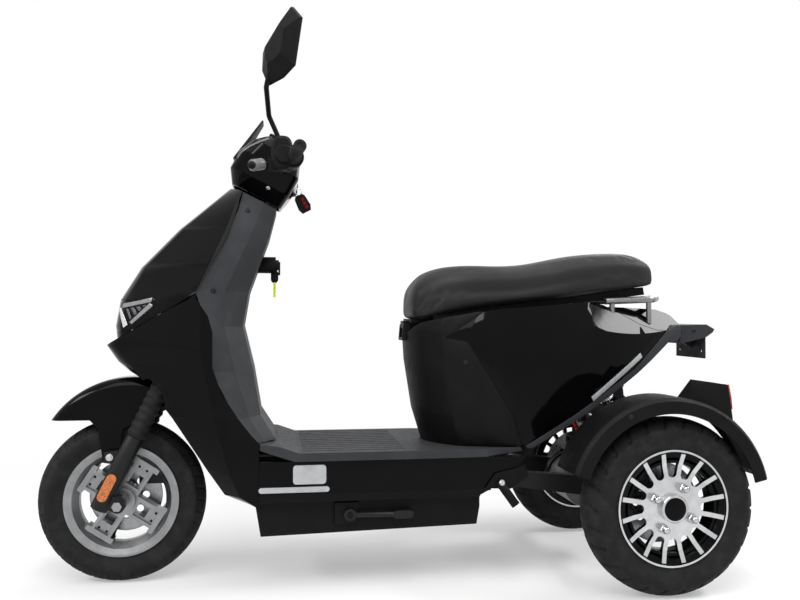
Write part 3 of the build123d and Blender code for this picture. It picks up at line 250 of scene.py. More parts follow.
def saddle_vinyl(name, base):
    """Stretched vinyl with pores and soft creases."""
    sheen = {"Sheen_Weight": 0.03, "Sheen_Roughness": 0.5}
    material, tree, shader, place = start_material(name, Specular_IOR_Level=0.22, **sheen)
    tone = blended(tree, noise(tree, place, 7.0, 5.0), base, brighter(base, 1.35, 0.003))
    surface(tree, shader, tone, spread(tree, noise(tree, place, 22.0), 0.46, 0.60))
    pores = linked(tree, "ShaderNodeTexVoronoi", Vector=place, Scale=620.0)
    pores.feature = "SMOOTH_F1"
    roughen(tree, shader, pores.outputs["Distance"], 0.0005, 0.45)
    return material


def tyre_rubber(name, base):
    """Dusty black rubber."""
    material, tree, shader, place = start_material(name, Specular_IOR_Level=0.14)
    dust = noise(tree, place, 34.0, 9.0)
    tone = blended(tree, dust, base, brighter(base, 1.7, 0.006), 0.45, 0.85)
    surface(tree, shader, tone, spread(tree, noise(tree, place, 90.0), 0.58, 0.8))
    roughen(tree, shader, noise(tree, place, 900.0, 3.0), 0.0003, 0.5)
    return material


def satin_metal(name, base, rough, metallic=1.0):
    """Metal or metallic paint with a cast or blasted grain."""
    material, tree, shader, place = start_material(name, Metallic=metallic, Specular_IOR_Level=0.22)
    stain = noise(tree, place, 40.0, 6.0)
    tone = blended(tree, stain, brighter(base, 0.86), brighter(base, 1.08))
    surface(tree, shader, tone, spread(tree, noise(tree, place, 120.0), *rough))
    roughen(tree, shader, noise(tree, place, 340.0, 2.0), 0.0002, 0.25)
    return material


def coloured_lens(name, base, ribs):
    """Moulded lens with a prismatic back seen through its colour."""
    material, tree, shader, place = start_material(name, IOR=1.49, Coat_Weight=0.6, Coat_Roughness=0.03)
    cells = linked(tree, "ShaderNodeTexVoronoi", Vector=place, Scale=ribs)
    cells.distance = "CHEBYCHEV"
    depth = cells.outputs["Distance"]
    tone = blended(tree, depth, brighter(base, 1.15, 0.01), brighter(base, 0.45), 0.1, 0.7)
    surface(tree, shader, tone, spread(tree, noise(tree, place, 70.0), 0.10, 0.22))
    roughen(tree, shader, depth, 0.0004, 0.35)
    return material


def wheel_alloy(name, centre, outward, bright, dark):
    """Rim with bright turned faces on one side and paint elsewhere.

    The spokes' faces that look outward, the lip and the hub are turned metal; the outward faces between the
    spokes beyond SLOT_END take the black paint, which there also stands in for shade in the recesses (painted
    shade).
    """
    material, tree, shader, place = start_material(name, Metallic=1.0)
    from_axle = arrow(tree, "SUBTRACT", place, centre)["Vector"]
    flat = arrow(tree, "MULTIPLY", from_axle, (1.0, 0.0, 1.0))["Vector"]
    radius = arrow(tree, "LENGTH", flat)["Value"]
    normal = tree.nodes["Texture Coordinate"].outputs["Normal"]
    facing = arrow(tree, "DOT_PRODUCT", normal, (0.0, outward, 0.0))["Value"]

    split = linked(tree, "ShaderNodeSeparateXYZ", Vector=from_axle).outputs
    turn = figure(tree, "ARCTAN2", split["Z"], split["X"])
    share = figure(tree, "FRACT", figure(tree, "MULTIPLY", turn, SPOKES / math.tau))
    away = figure(tree, "ABSOLUTE", figure(tree, "SUBTRACT", share, 0.5))
    arc = figure(tree, "MULTIPLY", figure(tree, "MULTIPLY", away, radius), math.tau / SPOKES)
    # painted shade: outward faces between the spokes beyond SLOT_END stay dark, black paint that also stands
    # in for shade in the recesses
    spoke = figure(tree, "LESS_THAN", arc, SPOKE_HALF)
    face = figure(tree, "MAXIMUM", spoke, figure(tree, "LESS_THAN", radius, SLOT_END))
    turned = figure(tree, "MULTIPLY", face, figure(tree, "GREATER_THAN", facing, 0.955))
    turned = figure(tree, "MAXIMUM", turned, figure(tree, "LESS_THAN", radius, HUB_RADIUS))
    turned = figure(tree, "MAXIMUM", turned, figure(tree, "GREATER_THAN", radius, LIP_START))
    marks = tree.nodes.new("ShaderNodeTexNoise")
    marks.noise_dimensions = "1D"
    marks.inputs["Scale"].default_value = 2600.0
    tree.links.new(radius, marks.inputs["W"])
    shade = noise(tree, place, 55.0, 5.0)
    clean = blended(tree, shade, brighter(bright, 0.9), brighter(bright, 1.06))
    painted = blended(tree, shade, dark, brighter(dark, 1.4, 0.004))
    mixed = tree.nodes.new("ShaderNodeMix")
    mixed.data_type = "RGBA"
    for index, source in ((0, turned), (6, painted), (7, clean)):
        tree.links.new(source, mixed.inputs[index])
    surface(tree, shader, mixed.outputs[2], spread(tree, marks.outputs["Fac"], 0.16, 0.30))
    roughen(tree, shader, marks.outputs["Fac"], 0.00012, 0.3)
    return material


# Mesh tools


def at(x, y, z):
    """A point from millimetres ahead of the rear axle, to the left and up."""
    return Vector((REAR_AXLE_X + x / 1000, y / 1000, z / 1000))


def aimed(origin, axis):
    """A placement whose local Z points along the axis."""
    return Matrix.Translation(origin) @ Vector(axis).to_track_quat("Z", "Y").to_matrix().to_4x4()


class Shape:
    """Collects the surfaces of one piece."""

    def __init__(self):
        self.mesh = bmesh.new()

    def lathe(self, profile, place, segments):
        """Turns (radius, height) points round the placement's Z."""
        rings = []
        for radius, height in profile:
            if radius < 1e-6:
                rings.append([self.mesh.verts.new(place @ Vector((0, 0, height)))])
                continue
            loop = []
            for index in range(segments):
                angle = math.tau * index / segments
                point = Vector((radius * math.cos(angle), radius * math.sin(angle), height))
                loop.append(self.mesh.verts.new(place @ point))
            rings.append(loop)
        for low, high in zip(rings, rings[1:]):
            for index in range(segments):
                after = (index + 1) % segments
                corners = [low[index % len(low)], low[after % len(low)]]
                corners += [high[after % len(high)], high[index % len(high)]]
                unique = list(dict.fromkeys(corners))
                if len(unique) > 2:
                    self.mesh.faces.new(unique)
        return self

    def tube(self, points, radius, sides, capped=True):
        """A round tube along the points."""
        path = [Vector(point) for point in points]
        side = None
        rings = []
        for index, point in enumerate(path):
            ahead = path[min(index + 1, len(path) - 1)] - path[max(index - 1, 0)]
            ahead.normalize()
            if side is None:
                side = ahead.orthogonal().normalized()
            side = (side - ahead * side.dot(ahead)).normalized()
            other = ahead.cross(side)
            loop = []
            for corner in range(sides):
                angle = math.tau * corner / sides
                offset = side * math.cos(angle) + other * math.sin(angle)
                loop.append(self.mesh.verts.new(point + offset * radius))
            rings.append(loop)
        for low, high in zip(rings, rings[1:]):
            for index in range(sides):
                after = (index + 1) % sides
                self.mesh.faces.new((low[index], low[after], high[after], high[index]))
        if capped:
            self.mesh.faces.new(list(reversed(rings[0])))
            self.mesh.faces.new(rings[-1])
        return self

    def prism(self, outline, place, thickness, edge):
        """A plate with softened edges from a flat outline in the placement's XY."""
        middle = sum((Vector((x, y, 0)) for x, y in outline), Vector()) / len(outline)
        rings = []
        for height, inset in ((0, edge), (edge, 0), (thickness - edge, 0), (thickness, edge)):
            loop = []
            for x, y in outline:
                point = Vector((x, y, 0))
                inward = middle - point
                if inward.length > 1e-9:
                    point += inward.normalized() * inset
                loop.append(self.mesh.verts.new(place @ (point + Vector((0, 0, height)))))
            rings.append(loop)
        count = len(outline)
        for low, high in zip(rings, rings[1:]):
            for index in range(count):
                after = (index + 1) % count
                self.mesh.faces.new((low[index], low[after], high[after], high[index]))
        self.mesh.faces.new(list(reversed(rings[0])))
        self.mesh.faces.new(rings[-1])
        return self

    def piece(self, name, material, body, slot):
        """The collected surfaces as an object that rides on a body."""
        bmesh.ops.recalc_face_normals(self.mesh, faces=self.mesh.faces)
        data = bpy.data.meshes.new(name)
        self.mesh.to_mesh(data)
        self.mesh.free()
        return placed(name, data, material, body)


def placed(name, data, material, body):
    """A mesh as an object with its material, riding on a body."""
    data.materials.append(material)
    data.shade_smooth()
    data.set_sharp_from_angle(angle=math.radians(38))
    piece = bpy.data.objects.new(name, data)
    bpy.context.scene.collection.objects.link(piece)
    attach(piece, body)
    return piece


def on_surface(node, x, z, side):
    """Where a sideways line at (x, z) first meets a CAD node, and the surface's direction there."""
    start = Vector((x, side * 0.6, z))
    hit, where, normal, _ = NODES[node].ray_cast(start, Vector((0, -side, 0)))
    if not hit:
        raise RuntimeError(f"nothing of {node} lies at x {x:.3f}, z {z:.3f}")
    return where, normal


def patch(name, node, outline, side, material, body, lift):
    """A thin inlay on a CAD node, from side-view corners in millimetres ahead of the rear axle and up."""
    spacing = 0.006
    shape = bmesh.new()
    corners = [shape.verts.new(at(x, 0, z)) for x, z in outline]
    shape.faces.new(corners)
    bmesh.ops.triangulate(shape, faces=shape.faces)
    for _ in range(4):
        long_edges = [edge for edge in shape.edges if edge.calc_length() > spacing]
        if not long_edges:
            break
        bmesh.ops.subdivide_edges(shape, edges=long_edges, cuts=1)
        bmesh.ops.triangulate(shape, faces=shape.faces)
    for vertex in shape.verts:
        where, normal = on_surface(node, vertex.co.x, vertex.co.z, side)
        vertex.co = where + normal * lift
    bmesh.ops.recalc_face_normals(shape, faces=shape.faces)
    data = bpy.data.meshes.new(name)
    shape.to_mesh(data)
    shape.free()
    inlay = placed(name, data, material, body)
    wall = inlay.modifiers.new("Thickness", "SOLIDIFY")
    wall.thickness = 2 * lift
    wall.offset = 0.0
    return inlay


# Operators


class TRIKE_OT_finishes(bpy.types.Operator):
    """Give every CAD part its finish and soften its edges"""

    bl_idname = "trike.finishes"
    bl_label = "Part finishes"

    def execute(self, context):
        tint = colours()
        panel = coated_panel("panel_gloss", tint.panel)
        moulding = grained_plastic("black_moulding", tint.moulding)
        shield = grained_plastic("grey_moulding", tint.shield, (0.46, 0.62))
        paint = satin_metal("frame_paint", tint.paint, (0.30, 0.48), metallic=0.0)
        steel = satin_metal("bright_steel", (0.30, 0.30, 0.31), (0.22, 0.38))
        alloy = satin_metal("motor_casting", (0.24, 0.24, 0.25), (0.38, 0.55))
        strip = satin_metal("silver_strip", tint.strip, (0.36, 0.5), metallic=0.25)
        rail = satin_metal("rail_silver", (0.24, 0.24, 0.25), (0.22, 0.36), metallic=0.9)
        rubber = tyre_rubber("soft_rubber", tint.rubber)
        amber = coloured_lens("amber_lens", tint.amber, 260.0)
        red = coloured_lens("red_lens", tint.red, 320.0)
        mirror = satin_metal("silvered_glass", (0.84, 0.85, 0.86), (0.01, 0.03))
        lamp = coated_panel("smoked_lens", brighter(tint.panel, 2.2))
        groups = (
            (panel, "front_cowl nose_panel floor_skirts side_panels"),
            (panel, "tail_panel front_fender bar_cowl instrument"),
            (moulding, "seat_box wheel_apron battery_box storage_tub rear_fenders lamp_housings foot_pegs"),
            (moulding, "seat_base controls mirror visor ignition_lock"),
            (shield, "inner_shield footboard tail_trim tail_fin"),
            (paint, "frame rear_axle rear_shocks side_stand fork_legs fork_crown front_caliper handlebar"),
            (steel, "front_axle front_disc rear_disc_left rear_disc_right"),
            (rubber, "fork_gaiters"),
            (alloy, "drive_motor"),
            (strip, "side_strips"),
            (rail, "grab_rail"),
            (amber, "fork_reflectors"),
            (red, "rear_lenses"),
            (mirror, "mirror_glass"),
            (lamp, "headlamp"),
        )
        for material, names in groups:
            for name in names.split():
                self.dress(name, material)
        for name, width in (("mirror", 0.007), ("inner_shield", 0.010)):
            soft = NODES[name].modifiers["Edges"]
            soft.width = width
            soft.segments = 4
            soft.angle_limit = math.radians(9)
        for name, side in (("rear_rim_left", 1.0), ("rear_rim_right", -1.0)):
            centre = JOINTS[f"{name.replace('rim_', 'wheel_')}_spin"]["pos_m"]
            self.dress(name, wheel_alloy(name, centre, side, tint.machined, tint.pocket), False)
        self.dress("front_rim", satin_metal("cast_rim", tint.silver, (0.26, 0.40)), False)
        return {"FINISHED"}

    def dress(self, name, material, soften=True):
        """One part's material and rounded edges."""
        node = NODES[name]
        node.data.materials.clear()
        node.data.materials.append(material)
        if soften:
            weld = node.modifiers.new("Weld", "WELD")
            weld.merge_threshold = 0.00002
            bevel = node.modifiers.new("Edges", "BEVEL")
            bevel.width = sizes().edge
            bevel.segments = 2
            bevel.limit_method = "ANGLE"
            bevel.angle_limit = math.radians(32)
            bevel.use_clamp_overlap = True
            bevel.harden_normals = False


class TRIKE_OT_tyres(bpy.types.Operator):
    """Build the three tyres with their tread"""

    bl_idname = "trike.tyres"
    bl_label = "Tyres"

    def execute(self, context):
        size = sizes()
        rubber = tyre_rubber("tyre_rubber", colours().rubber)
        rows = (
            ("front_tyre", "front_wheel", size.front_rim_width, size.front_blocks, 0.6),
            ("rear_tyre_left", "rear_wheel_left", size.rear_rim_width, size.rear_blocks, 1.0),
            ("rear_tyre_right", "rear_wheel_right", size.rear_rim_width, size.rear_blocks, 1.0),
        )
        for node, body, rim_width, blocks, share in rows:
            data = self.tread(node, rim_width, blocks, size.tread_depth * share)
            tyre = placed(node + "_tread", data, rubber, body)
            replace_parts(tyre, node)
        return {"FINISHED"}

    def outline(self, radius, width, rim_width):
        """Half of the tyre's cross-section as (radius, across) points, from the bead to the crown."""
        flange = sizes().flange_radius
        bead = rim_width / 2 - 0.0055
        side = Vector(((flange + radius) / 2, width / 2))
        shoulder = Vector((0.915 * radius, 0.42 * width))
        flank = Vector((0.98 * radius, 0.24 * width))
        crown = Vector((radius, 0.0))
        points = [Vector((flange - 0.012, bead)), Vector((flange, bead))]
        for index in range(1, 9):
            points.append(self.bent(Vector((flange, bead)), side, shoulder, index / 8))
        for index in range(1, 13):
            points.append(self.bent(shoulder, flank, crown, index / 12))
        return points

    def bent(self, first, middle, last, share):
        """A point on the curve that passes through three points."""
        a = 2 * (share - 0.5) * (share - 1)
        b = 4 * share * (1 - share)
        c = 2 * share * (share - 0.5)
        return first * a + middle * b + last * c

    def groove(self, turn, across, blocks):
        """Depth share of the tread at a turn of 0 to 1 and an across place of -1 to 1."""
        phase = turn * blocks
        reach = abs(across)
        zigzag = abs((phase % 1.0) - 0.5) * 2 - 0.5
        depth = self.notch(abs(across - 0.16 * zigzag), 0.05)
        lean = phase + 0.55 * reach + (0.5 if across < 0 else 0.0)
        if 0.26 < reach < 1.02:
            cut = abs(lean % 1.0 - 0.5)
            ends = min(1.0, (reach - 0.26) / 0.05, (1.02 - reach) / 0.05)
            depth = max(depth, self.notch(cut, 0.10) * ends)
        if 0.5 < reach < 0.62:
            depth = max(depth, 0.55 * self.notch(abs(reach - 0.56), 0.03))
        return depth

    def notch(self, away, half):
        """One inside the half width of a groove, falling to nothing over its wall."""
        return max(0.0, min(1.0, (half - away) / (0.35 * half) + 0.5)) if away < 1.2 * half else 0.0

    def tread(self, node, rim_width, blocks, depth):
        """The tyre's mesh."""
        low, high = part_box(node)
        centre = (low + high) / 2
        radius = (high.z - low.z) / 2
        width = high.y - low.y
        half = self.outline(radius, width, rim_width)
        section = half + [Vector((p.x, -p.y)) for p in reversed(half[:-1])]
        steps = blocks * 20
        tread_edge = 0.86 * radius
        points = []
        for index in range(steps):
            turn = index / steps
            angle = math.tau * turn
            for place in section:
                across = place.y / (0.46 * width)
                sunk = 0.0
                if place.x > tread_edge:
                    fade = min(1.0, (place.x - tread_edge) / (0.03 * radius))
                    sunk = depth * self.groove(turn, across, blocks) * fade
                wall = 0.0007 * (abs(place.x - 0.76 * radius) < 0.006 * radius)
                inset = 0.4 * sunk * (abs(across) > 0.8)
                y = centre.y + place.y + math.copysign(wall, place.y) - math.copysign(inset, place.y)
                reach = place.x - sunk
                points.append((centre.x + reach * math.cos(angle), y, centre.z + reach * math.sin(angle)))
        count = len(section)
        faces = []
        for index in range(steps):
            here = index * count
            there = (index + 1) % steps * count
            for row in range(count):
                other = (row + 1) % count
                faces.append((here + row, there + row, there + other, here + other))
        data = bpy.data.meshes.new(node + "_tread")
        data.from_pydata(points, [], faces)
        fixed = bmesh.new()
        fixed.from_mesh(data)
        bmesh.ops.recalc_face_normals(fixed, faces=fixed.faces)
        fixed.to_mesh(data)
        fixed.free()
        return data


class TRIKE_OT_seat(bpy.types.Operator):
    """Build the padded saddle"""

    bl_idname = "trike.seat"
    bl_label = "Saddle"

    # ahead of the rear axle, underside, top, half width in millimetres, squareness
    ROWS = (
        (597, 680, 746, 68, 3.0),
        (590, 671, 766, 90, 3.0),
        (566, 668, 787, 107, 3.2),
        (518, 676, 810, 122, 3.4),
        (440, 692, 817, 130, 3.4),
        (370, 704, 814, 136, 3.4),
        (300, 713, 816, 140, 3.4),
        (230, 721, 828, 145, 3.4),
        (163, 730, 844, 149, 3.4),
        (90, 741, 852, 150, 3.4),
        (20, 751, 855, 147, 3.4),
        (-32, 758, 850, 138, 3.2),
        (-60, 762, 838, 124, 3.0),
        (-73, 767, 822, 110, 2.8),
    )
    AROUND = 48
    SWELL = 0.004

    def execute(self, context):
        points = []
        room = 1000 * self.SWELL
        for x, low, top, width, square in self.ROWS:
            high = top - room
            half = width - room
            middle = (low + high) / 2
            for index in range(self.AROUND):
                angle = math.tau * index / self.AROUND
                power = 2 / (square if math.sin(angle) > 0 else 7.0)
                y = half * math.copysign(abs(math.cos(angle)) ** power, math.cos(angle))
                rise = math.copysign(abs(math.sin(angle)) ** power, math.sin(angle))
                crown = 1.0 - 0.10 * (abs(y) / half) ** 2 if rise > 0 else 1.0
                z = middle + (high - low) / 2 * rise * crown
                points.append(at(x, y * 0.985, z))
        faces = []
        rows = len(self.ROWS)
        for row in range(rows - 1):
            for index in range(self.AROUND):
                after = (index + 1) % self.AROUND
                faces.append(
                    (
                        row * self.AROUND + index,
                        row * self.AROUND + after,
                        (row + 1) * self.AROUND + after,
                        (row + 1) * self.AROUND + index,
                    )
                )
        faces.append(tuple(range(self.AROUND)))
        faces.append(tuple(reversed(range((rows - 1) * self.AROUND, rows * self.AROUND))))
        shape = bmesh.new()
        corners = [shape.verts.new(point) for point in points]
        for face in faces:
            shape.faces.new([corners[index] for index in face])
        bmesh.ops.recalc_face_normals(shape, faces=shape.faces)
        data = bpy.data.meshes.new("saddle")
        shape.to_mesh(data)
        shape.free()
        saddle = placed("saddle", data, saddle_vinyl("saddle_vinyl", colours().vinyl), "seat")
        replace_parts(saddle, "seat_cushion")
        self.smoothed(saddle, 2)
        self.swell(saddle)
        return {"FINISHED"}

    def smoothed(self, saddle, levels):
        """Adds a subdivision surface."""
        smooth = saddle.modifiers.new("Smooth", "SUBSURF")
        smooth.levels = levels
        smooth.render_levels = levels

    def swell(self, saddle):
        """Presses the cover out over its foam as cloth and keeps the shape that it takes."""
        scene = bpy.context.scene
        even = saddle.modifiers.new("Even", "REMESH")
        even.mode = "VOXEL"
        even.voxel_size = 0.006
        cover = bpy.data.meshes.new_from_object(saddle.evaluated_get(bpy.context.evaluated_depsgraph_get()))
        saddle.modifiers.clear()
        saddle.data = cover
        cover.shade_smooth()
        before = [vertex.co.copy() for vertex in cover.vertices]
        base = saddle.vertex_groups.new(name="base")
        base.add([vertex.index for vertex in cover.vertices if vertex.normal.z < -0.6], 1.0, "REPLACE")
        cloth = saddle.modifiers.new("Cover", "CLOTH")
        cloth.settings.use_pressure = True
        cloth.settings.uniform_pressure_force = 4.0
        cloth.settings.effector_weights.gravity = 0.0
        cloth.settings.vertex_group_mass = "base"
        for frame_number in range(1, 21):
            scene.frame_set(frame_number)
        pressed = saddle.evaluated_get(bpy.context.evaluated_depsgraph_get()).data
        after = [vertex.co.copy() for vertex in pressed.vertices]
        saddle.modifiers.remove(cloth)
        scene.frame_set(1)
        for vertex, start, end in zip(cover.vertices, before, after):
            move = end - start
            vertex.co = start + move * min(1.0, self.SWELL / max(move.length, 1e-9))
        self.smoothed(saddle, 1)


class TRIKE_OT_wheel_fittings(bpy.types.Operator):
    """Build the wheel nuts, hub caps, pocket screws and valve"""

    bl_idname = "trike.wheel_fittings"
    bl_label = "Wheel fittings"

    # profiles as radius and height
    NUT = ((0.0, 0.0), (0.0118, 0.0), (0.0118, 0.0115), (0.0104, 0.0128), (0.0, 0.0128))
    DOME = ((0.0088, 0.012), (0.0088, 0.020), (0.0078, 0.0236), (0.0050, 0.0262), (0.0, 0.0270))
    CAP = ((0.0, 0.0), (0.0275, 0.0), (0.0275, 0.0012), (0.026, 0.0024), (0.020, 0.0034), (0.0, 0.0042))
    COLLAR = (
        (0.0275, 0.0),
        (0.0335, 0.0),
        (0.0335, 0.0014),
        (0.0322, 0.0026),
        (0.0278, 0.0026),
        (0.0275, 0.0),
    )
    SCREW = ((0.0, 0.0), (0.0032, 0.0), (0.0032, 0.0012), (0.0024, 0.0018), (0.0, 0.0018))
    VALVE = (
        (0.0, 0.0),
        (0.006, 0.0),
        (0.005, 0.004),
        (0.0036, 0.010),
        (0.0036, 0.022),
        (0.0042, 0.023),
        (0.0042, 0.030),
        (0.0030, 0.032),
        (0.0, 0.032),
    )

    def execute(self, context):
        bright = satin_metal("nut_plating", (0.50, 0.50, 0.51), (0.10, 0.20))
        cap_black = coated_panel("cap_gloss", colours().panel)
        for side, name in ((1, "left"), (-1, "right")):
            body = f"rear_wheel_{name}"
            axle = Vector(JOINTS[f"{body}_spin"]["pos_m"])
            outward = Vector((0, side, 0))
            face = axle + outward * 0.032
            nuts = Shape()
            for index in range(4):
                angle = math.radians(28 + 90 * index)
                spot = face + Vector((math.cos(angle), 0, math.sin(angle))) * sizes().lug_circle
                nuts.lathe(self.NUT, aimed(spot, outward), 6)
                nuts.lathe(self.DOME, aimed(spot, outward), 20)
            nuts.piece(f"wheel_nuts_{name}", bright, body, "steel")
            end = aimed(axle + outward * 0.044, outward)
            Shape().lathe(self.CAP, end, 48).piece(f"hub_cap_{name}", cap_black, body, "gloss_black")
            Shape().lathe(self.COLLAR, end, 48).piece(f"hub_collar_{name}", bright, body, "steel")
        self.front()
        return {"FINISHED"}

    def front(self):
        """Screws in the spoke pockets and the valve of the front wheel."""
        dark = grained_plastic("fitting_black", colours().moulding)
        axle = Vector(JOINTS["front_wheel_spin"]["pos_m"])
        screws = Shape()
        for side in (1, -1):
            for index in range(4):
                angle = math.radians(33 + 90 * index)
                along = Vector((math.cos(angle), 0, math.sin(angle)))
                across = Vector((-math.sin(angle), 0, math.cos(angle)))
                depth = 0.009 if side > 0 else 0.019
                for shift in (-0.011, 0.011):
                    spot = axle + along * 0.090 + across * shift + Vector((0, side * depth, 0))
                    screws.lathe(self.SCREW, aimed(spot, (0, side, 0)), 12)
        screws.piece("pocket_screws", dark, "front_wheel", "matte_black")
        angle = math.radians(-76)
        along = Vector((math.cos(angle), 0, math.sin(angle)))
        foot = aimed(axle + along * 0.1075, -along)
        Shape().lathe(self.VALVE, foot, 16).piece("valve", dark, "front_wheel", "rubber")


class TRIKE_OT_springs(bpy.types.Operator):
    """Wind the rear springs"""

    bl_idname = "trike.springs"
    bl_label = "Rear springs"

    def execute(self, context):
        wire = sizes().coil_wire
        low_seat = at(22, 88, 258)
        high_seat = at(82, 88, 526)
        axis = high_seat - low_seat
        coil = Shape()
        for side in (1, -1):
            start = Vector((low_seat.x, side * low_seat.y, low_seat.z))
            place = aimed(start, axis)
            bottom = 0.15 * axis.length + wire * 0.6
            top = 0.88 * axis.length - wire * 0.6
            points = []
            steps = int(sizes().coil_turns * 28)
            for index in range(steps + 1):
                share = index / steps
                angle = math.tau * sizes().coil_turns * share
                closed = 0.5 - 0.5 * math.cos(math.pi * share)
                height = bottom + (top - bottom) * (0.75 * share + 0.25 * closed)
                ring = 0.026 - wire / 2
                points.append(place @ Vector((ring * math.cos(angle), ring * math.sin(angle), height)))
            coil.tube(points, wire / 2, 12)
        chrome = satin_metal("spring_plating", (0.66, 0.66, 0.67), (0.16, 0.30))
        springs = coil.piece("spring_coils", chrome, "chassis", "chrome")
        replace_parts(springs, "shock_springs")
        return {"FINISHED"}


class TRIKE_OT_headlamp(bpy.types.Operator):
    """Build the lamp's silver frame and dark slats"""

    bl_idname = "trike.headlamp"
    bl_label = "Headlamp"

    # corners as millimetres ahead of the rear axle and up
    BARS = (
        ((1324, 706), (1246, 720), (1249, 710), (1327, 695)),
        ((1252, 708), (1244, 701), (1300, 655), (1306, 660)),
    )
    SLATS = (
        ((1317, 693), (1311, 694), (1301, 670), (1305, 666)),
        ((1305, 695), (1296, 697), (1287, 682), (1293, 677)),
        ((1290, 698), (1280, 700), (1275, 692), (1281, 687)),
        ((1274, 701), (1265, 703), (1263, 701), (1269, 697)),
    )
    EDGE = ((1337, 693), (1331, 696), (1311, 654), (1322, 646))

    def execute(self, context):
        silver = satin_metal("lamp_silver", (0.27, 0.27, 0.275), (0.24, 0.38), metallic=0.5)
        grey = satin_metal("lamp_slats", (0.10, 0.10, 0.104), (0.24, 0.38), metallic=0.3)
        clear = coloured_lens("lamp_glass", (0.62, 0.63, 0.64), 420.0)
        for side, name in ((1, "left"), (-1, "right")):
            for row, corners in enumerate(self.BARS):
                self.inlay(f"lamp_bar_{name}_{row}", corners, side, silver, 0.0012, "satin_silver")
            for row, corners in enumerate(self.SLATS):
                self.inlay(f"lamp_slat_{name}_{row}", corners, side, grey, 0.0007, "satin_silver")
            self.inlay(f"lamp_edge_{name}", self.EDGE, side, clear, 0.0010, "clear_lens")
        return {"FINISHED"}

    def inlay(self, name, corners, side, material, lift, slot):
        """A thin bar or slat on the lamp."""
        patch(name, "headlamp", corners, side, material, "chassis", lift)


class TRIKE_OT_grips(bpy.types.Operator):
    """Build the ribbed grips and bar ends"""

    bl_idname = "trike.grips"
    bl_label = "Grips"

    # radius, then place as a share of the bar's straight end
    COLLAR = ((0.0118, 0.245), (0.0185, 0.245), (0.0196, 0.255), (0.0185, 0.275))
    BAR_END = (
        (0.0140, 0.915),
        (0.0150, 0.925),
        (0.0150, 1.005),
        (0.0138, 1.018),
        (0.0080, 1.018),
        (0.0066, 1.006),
        (0.0, 1.006),
    )
    RIBS = 22
    FIRST_RIB = 0.29
    RIBBED = 0.62

    def execute(self, context):
        rubber = tyre_rubber("grip_rubber", colours().rubber)
        bend = at(912, 190, 1058)
        end = at(897, 345, 1060)
        profile = list(self.COLLAR)
        gap = self.RIBBED / self.RIBS
        for index in range(self.RIBS):
            low = self.FIRST_RIB + gap * index
            profile += [(0.0138, low), (0.0149, low + 0.25 * gap), (0.0149, low + 0.75 * gap)]
        profile += self.BAR_END
        grips = Shape()
        for side in (1, -1):
            start = Vector((bend.x, side * bend.y, bend.z))
            stop = Vector((end.x, side * end.y, end.z))
            axis = stop - start
            scaled = [(radius, share * axis.length) for radius, share in profile]
            grips.lathe(scaled, aimed(start, axis), 32)
        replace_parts(grips.piece("ribbed_grips", rubber, "steering", "rubber"), "grips")
        return {"FINISHED"}


class TRIKE_OT_switches(bpy.types.Operator):
    """Build the switch housings, the lever barrels and the cowl's edge trim"""

    bl_idname = "trike.switches"
    bl_label = "Switch housings"

    # corners of the cowl's edge trim as millimetres ahead of the rear axle and up
    TRIM = (
        (1045, 1079),
        (1037, 1091),
        (1015, 1107),
        (990, 1120),
        (968, 1132),
        (968, 1127),
        (990, 1115),
        (1014, 1102),
        (1036, 1086),
        (1044, 1074),
    )

    def execute(self, context):
        black = grained_plastic("switch_black", colours().moulding)
        grey = satin_metal("lever_grey", (0.14, 0.14, 0.145), (0.32, 0.46), metallic=0.3)
        outline = []
        for index in range(28):
            angle = math.tau * index / 28
            x = 0.026 * math.copysign(abs(math.cos(angle)) ** 0.7, math.cos(angle))
            z = 0.041 * math.copysign(abs(math.sin(angle)) ** 0.7, math.sin(angle))
            outline.append((x, z))
        pods = Shape()
        barrels = Shape()
        for side in (1, -1):
            outward = Vector((0, side, 0))
            upright = Matrix((Vector((side, 0, 0)), Vector((0, 0, 1)), outward)).transposed().to_4x4()
            pods.prism(outline, Matrix.Translation(at(936, side * 194, 1067)) @ upright, 0.040, 0.007)
            collar = ((0.0, 0.0), (0.022, 0.0), (0.022, 0.006), (0.0195, 0.009), (0.0, 0.009))
            pods.lathe(collar, aimed(at(931, side * 233, 1062), outward), 32)
            hollow = ((0.0, 0.0), (0.011, 0.0), (0.0138, 0.004), (0.0138, 0.030), (0.0120, 0.034))
            hollow += ((0.0078, 0.034), (0.0070, 0.022), (0.0, 0.022))
            barrels.lathe(hollow, aimed(at(978, side * 278, 1029), (0.84, side * 0.42, -0.22)), 32)
            name = f"cowl_trim_{side}"
            patch(name, "bar_cowl", self.TRIM, side, grey, "steering", 0.0009)
        pods.piece("switch_housings", black, "steering", "matte_black")
        barrels.piece("lever_barrels", grey, "steering", "satin_silver")
        return {"FINISHED"}


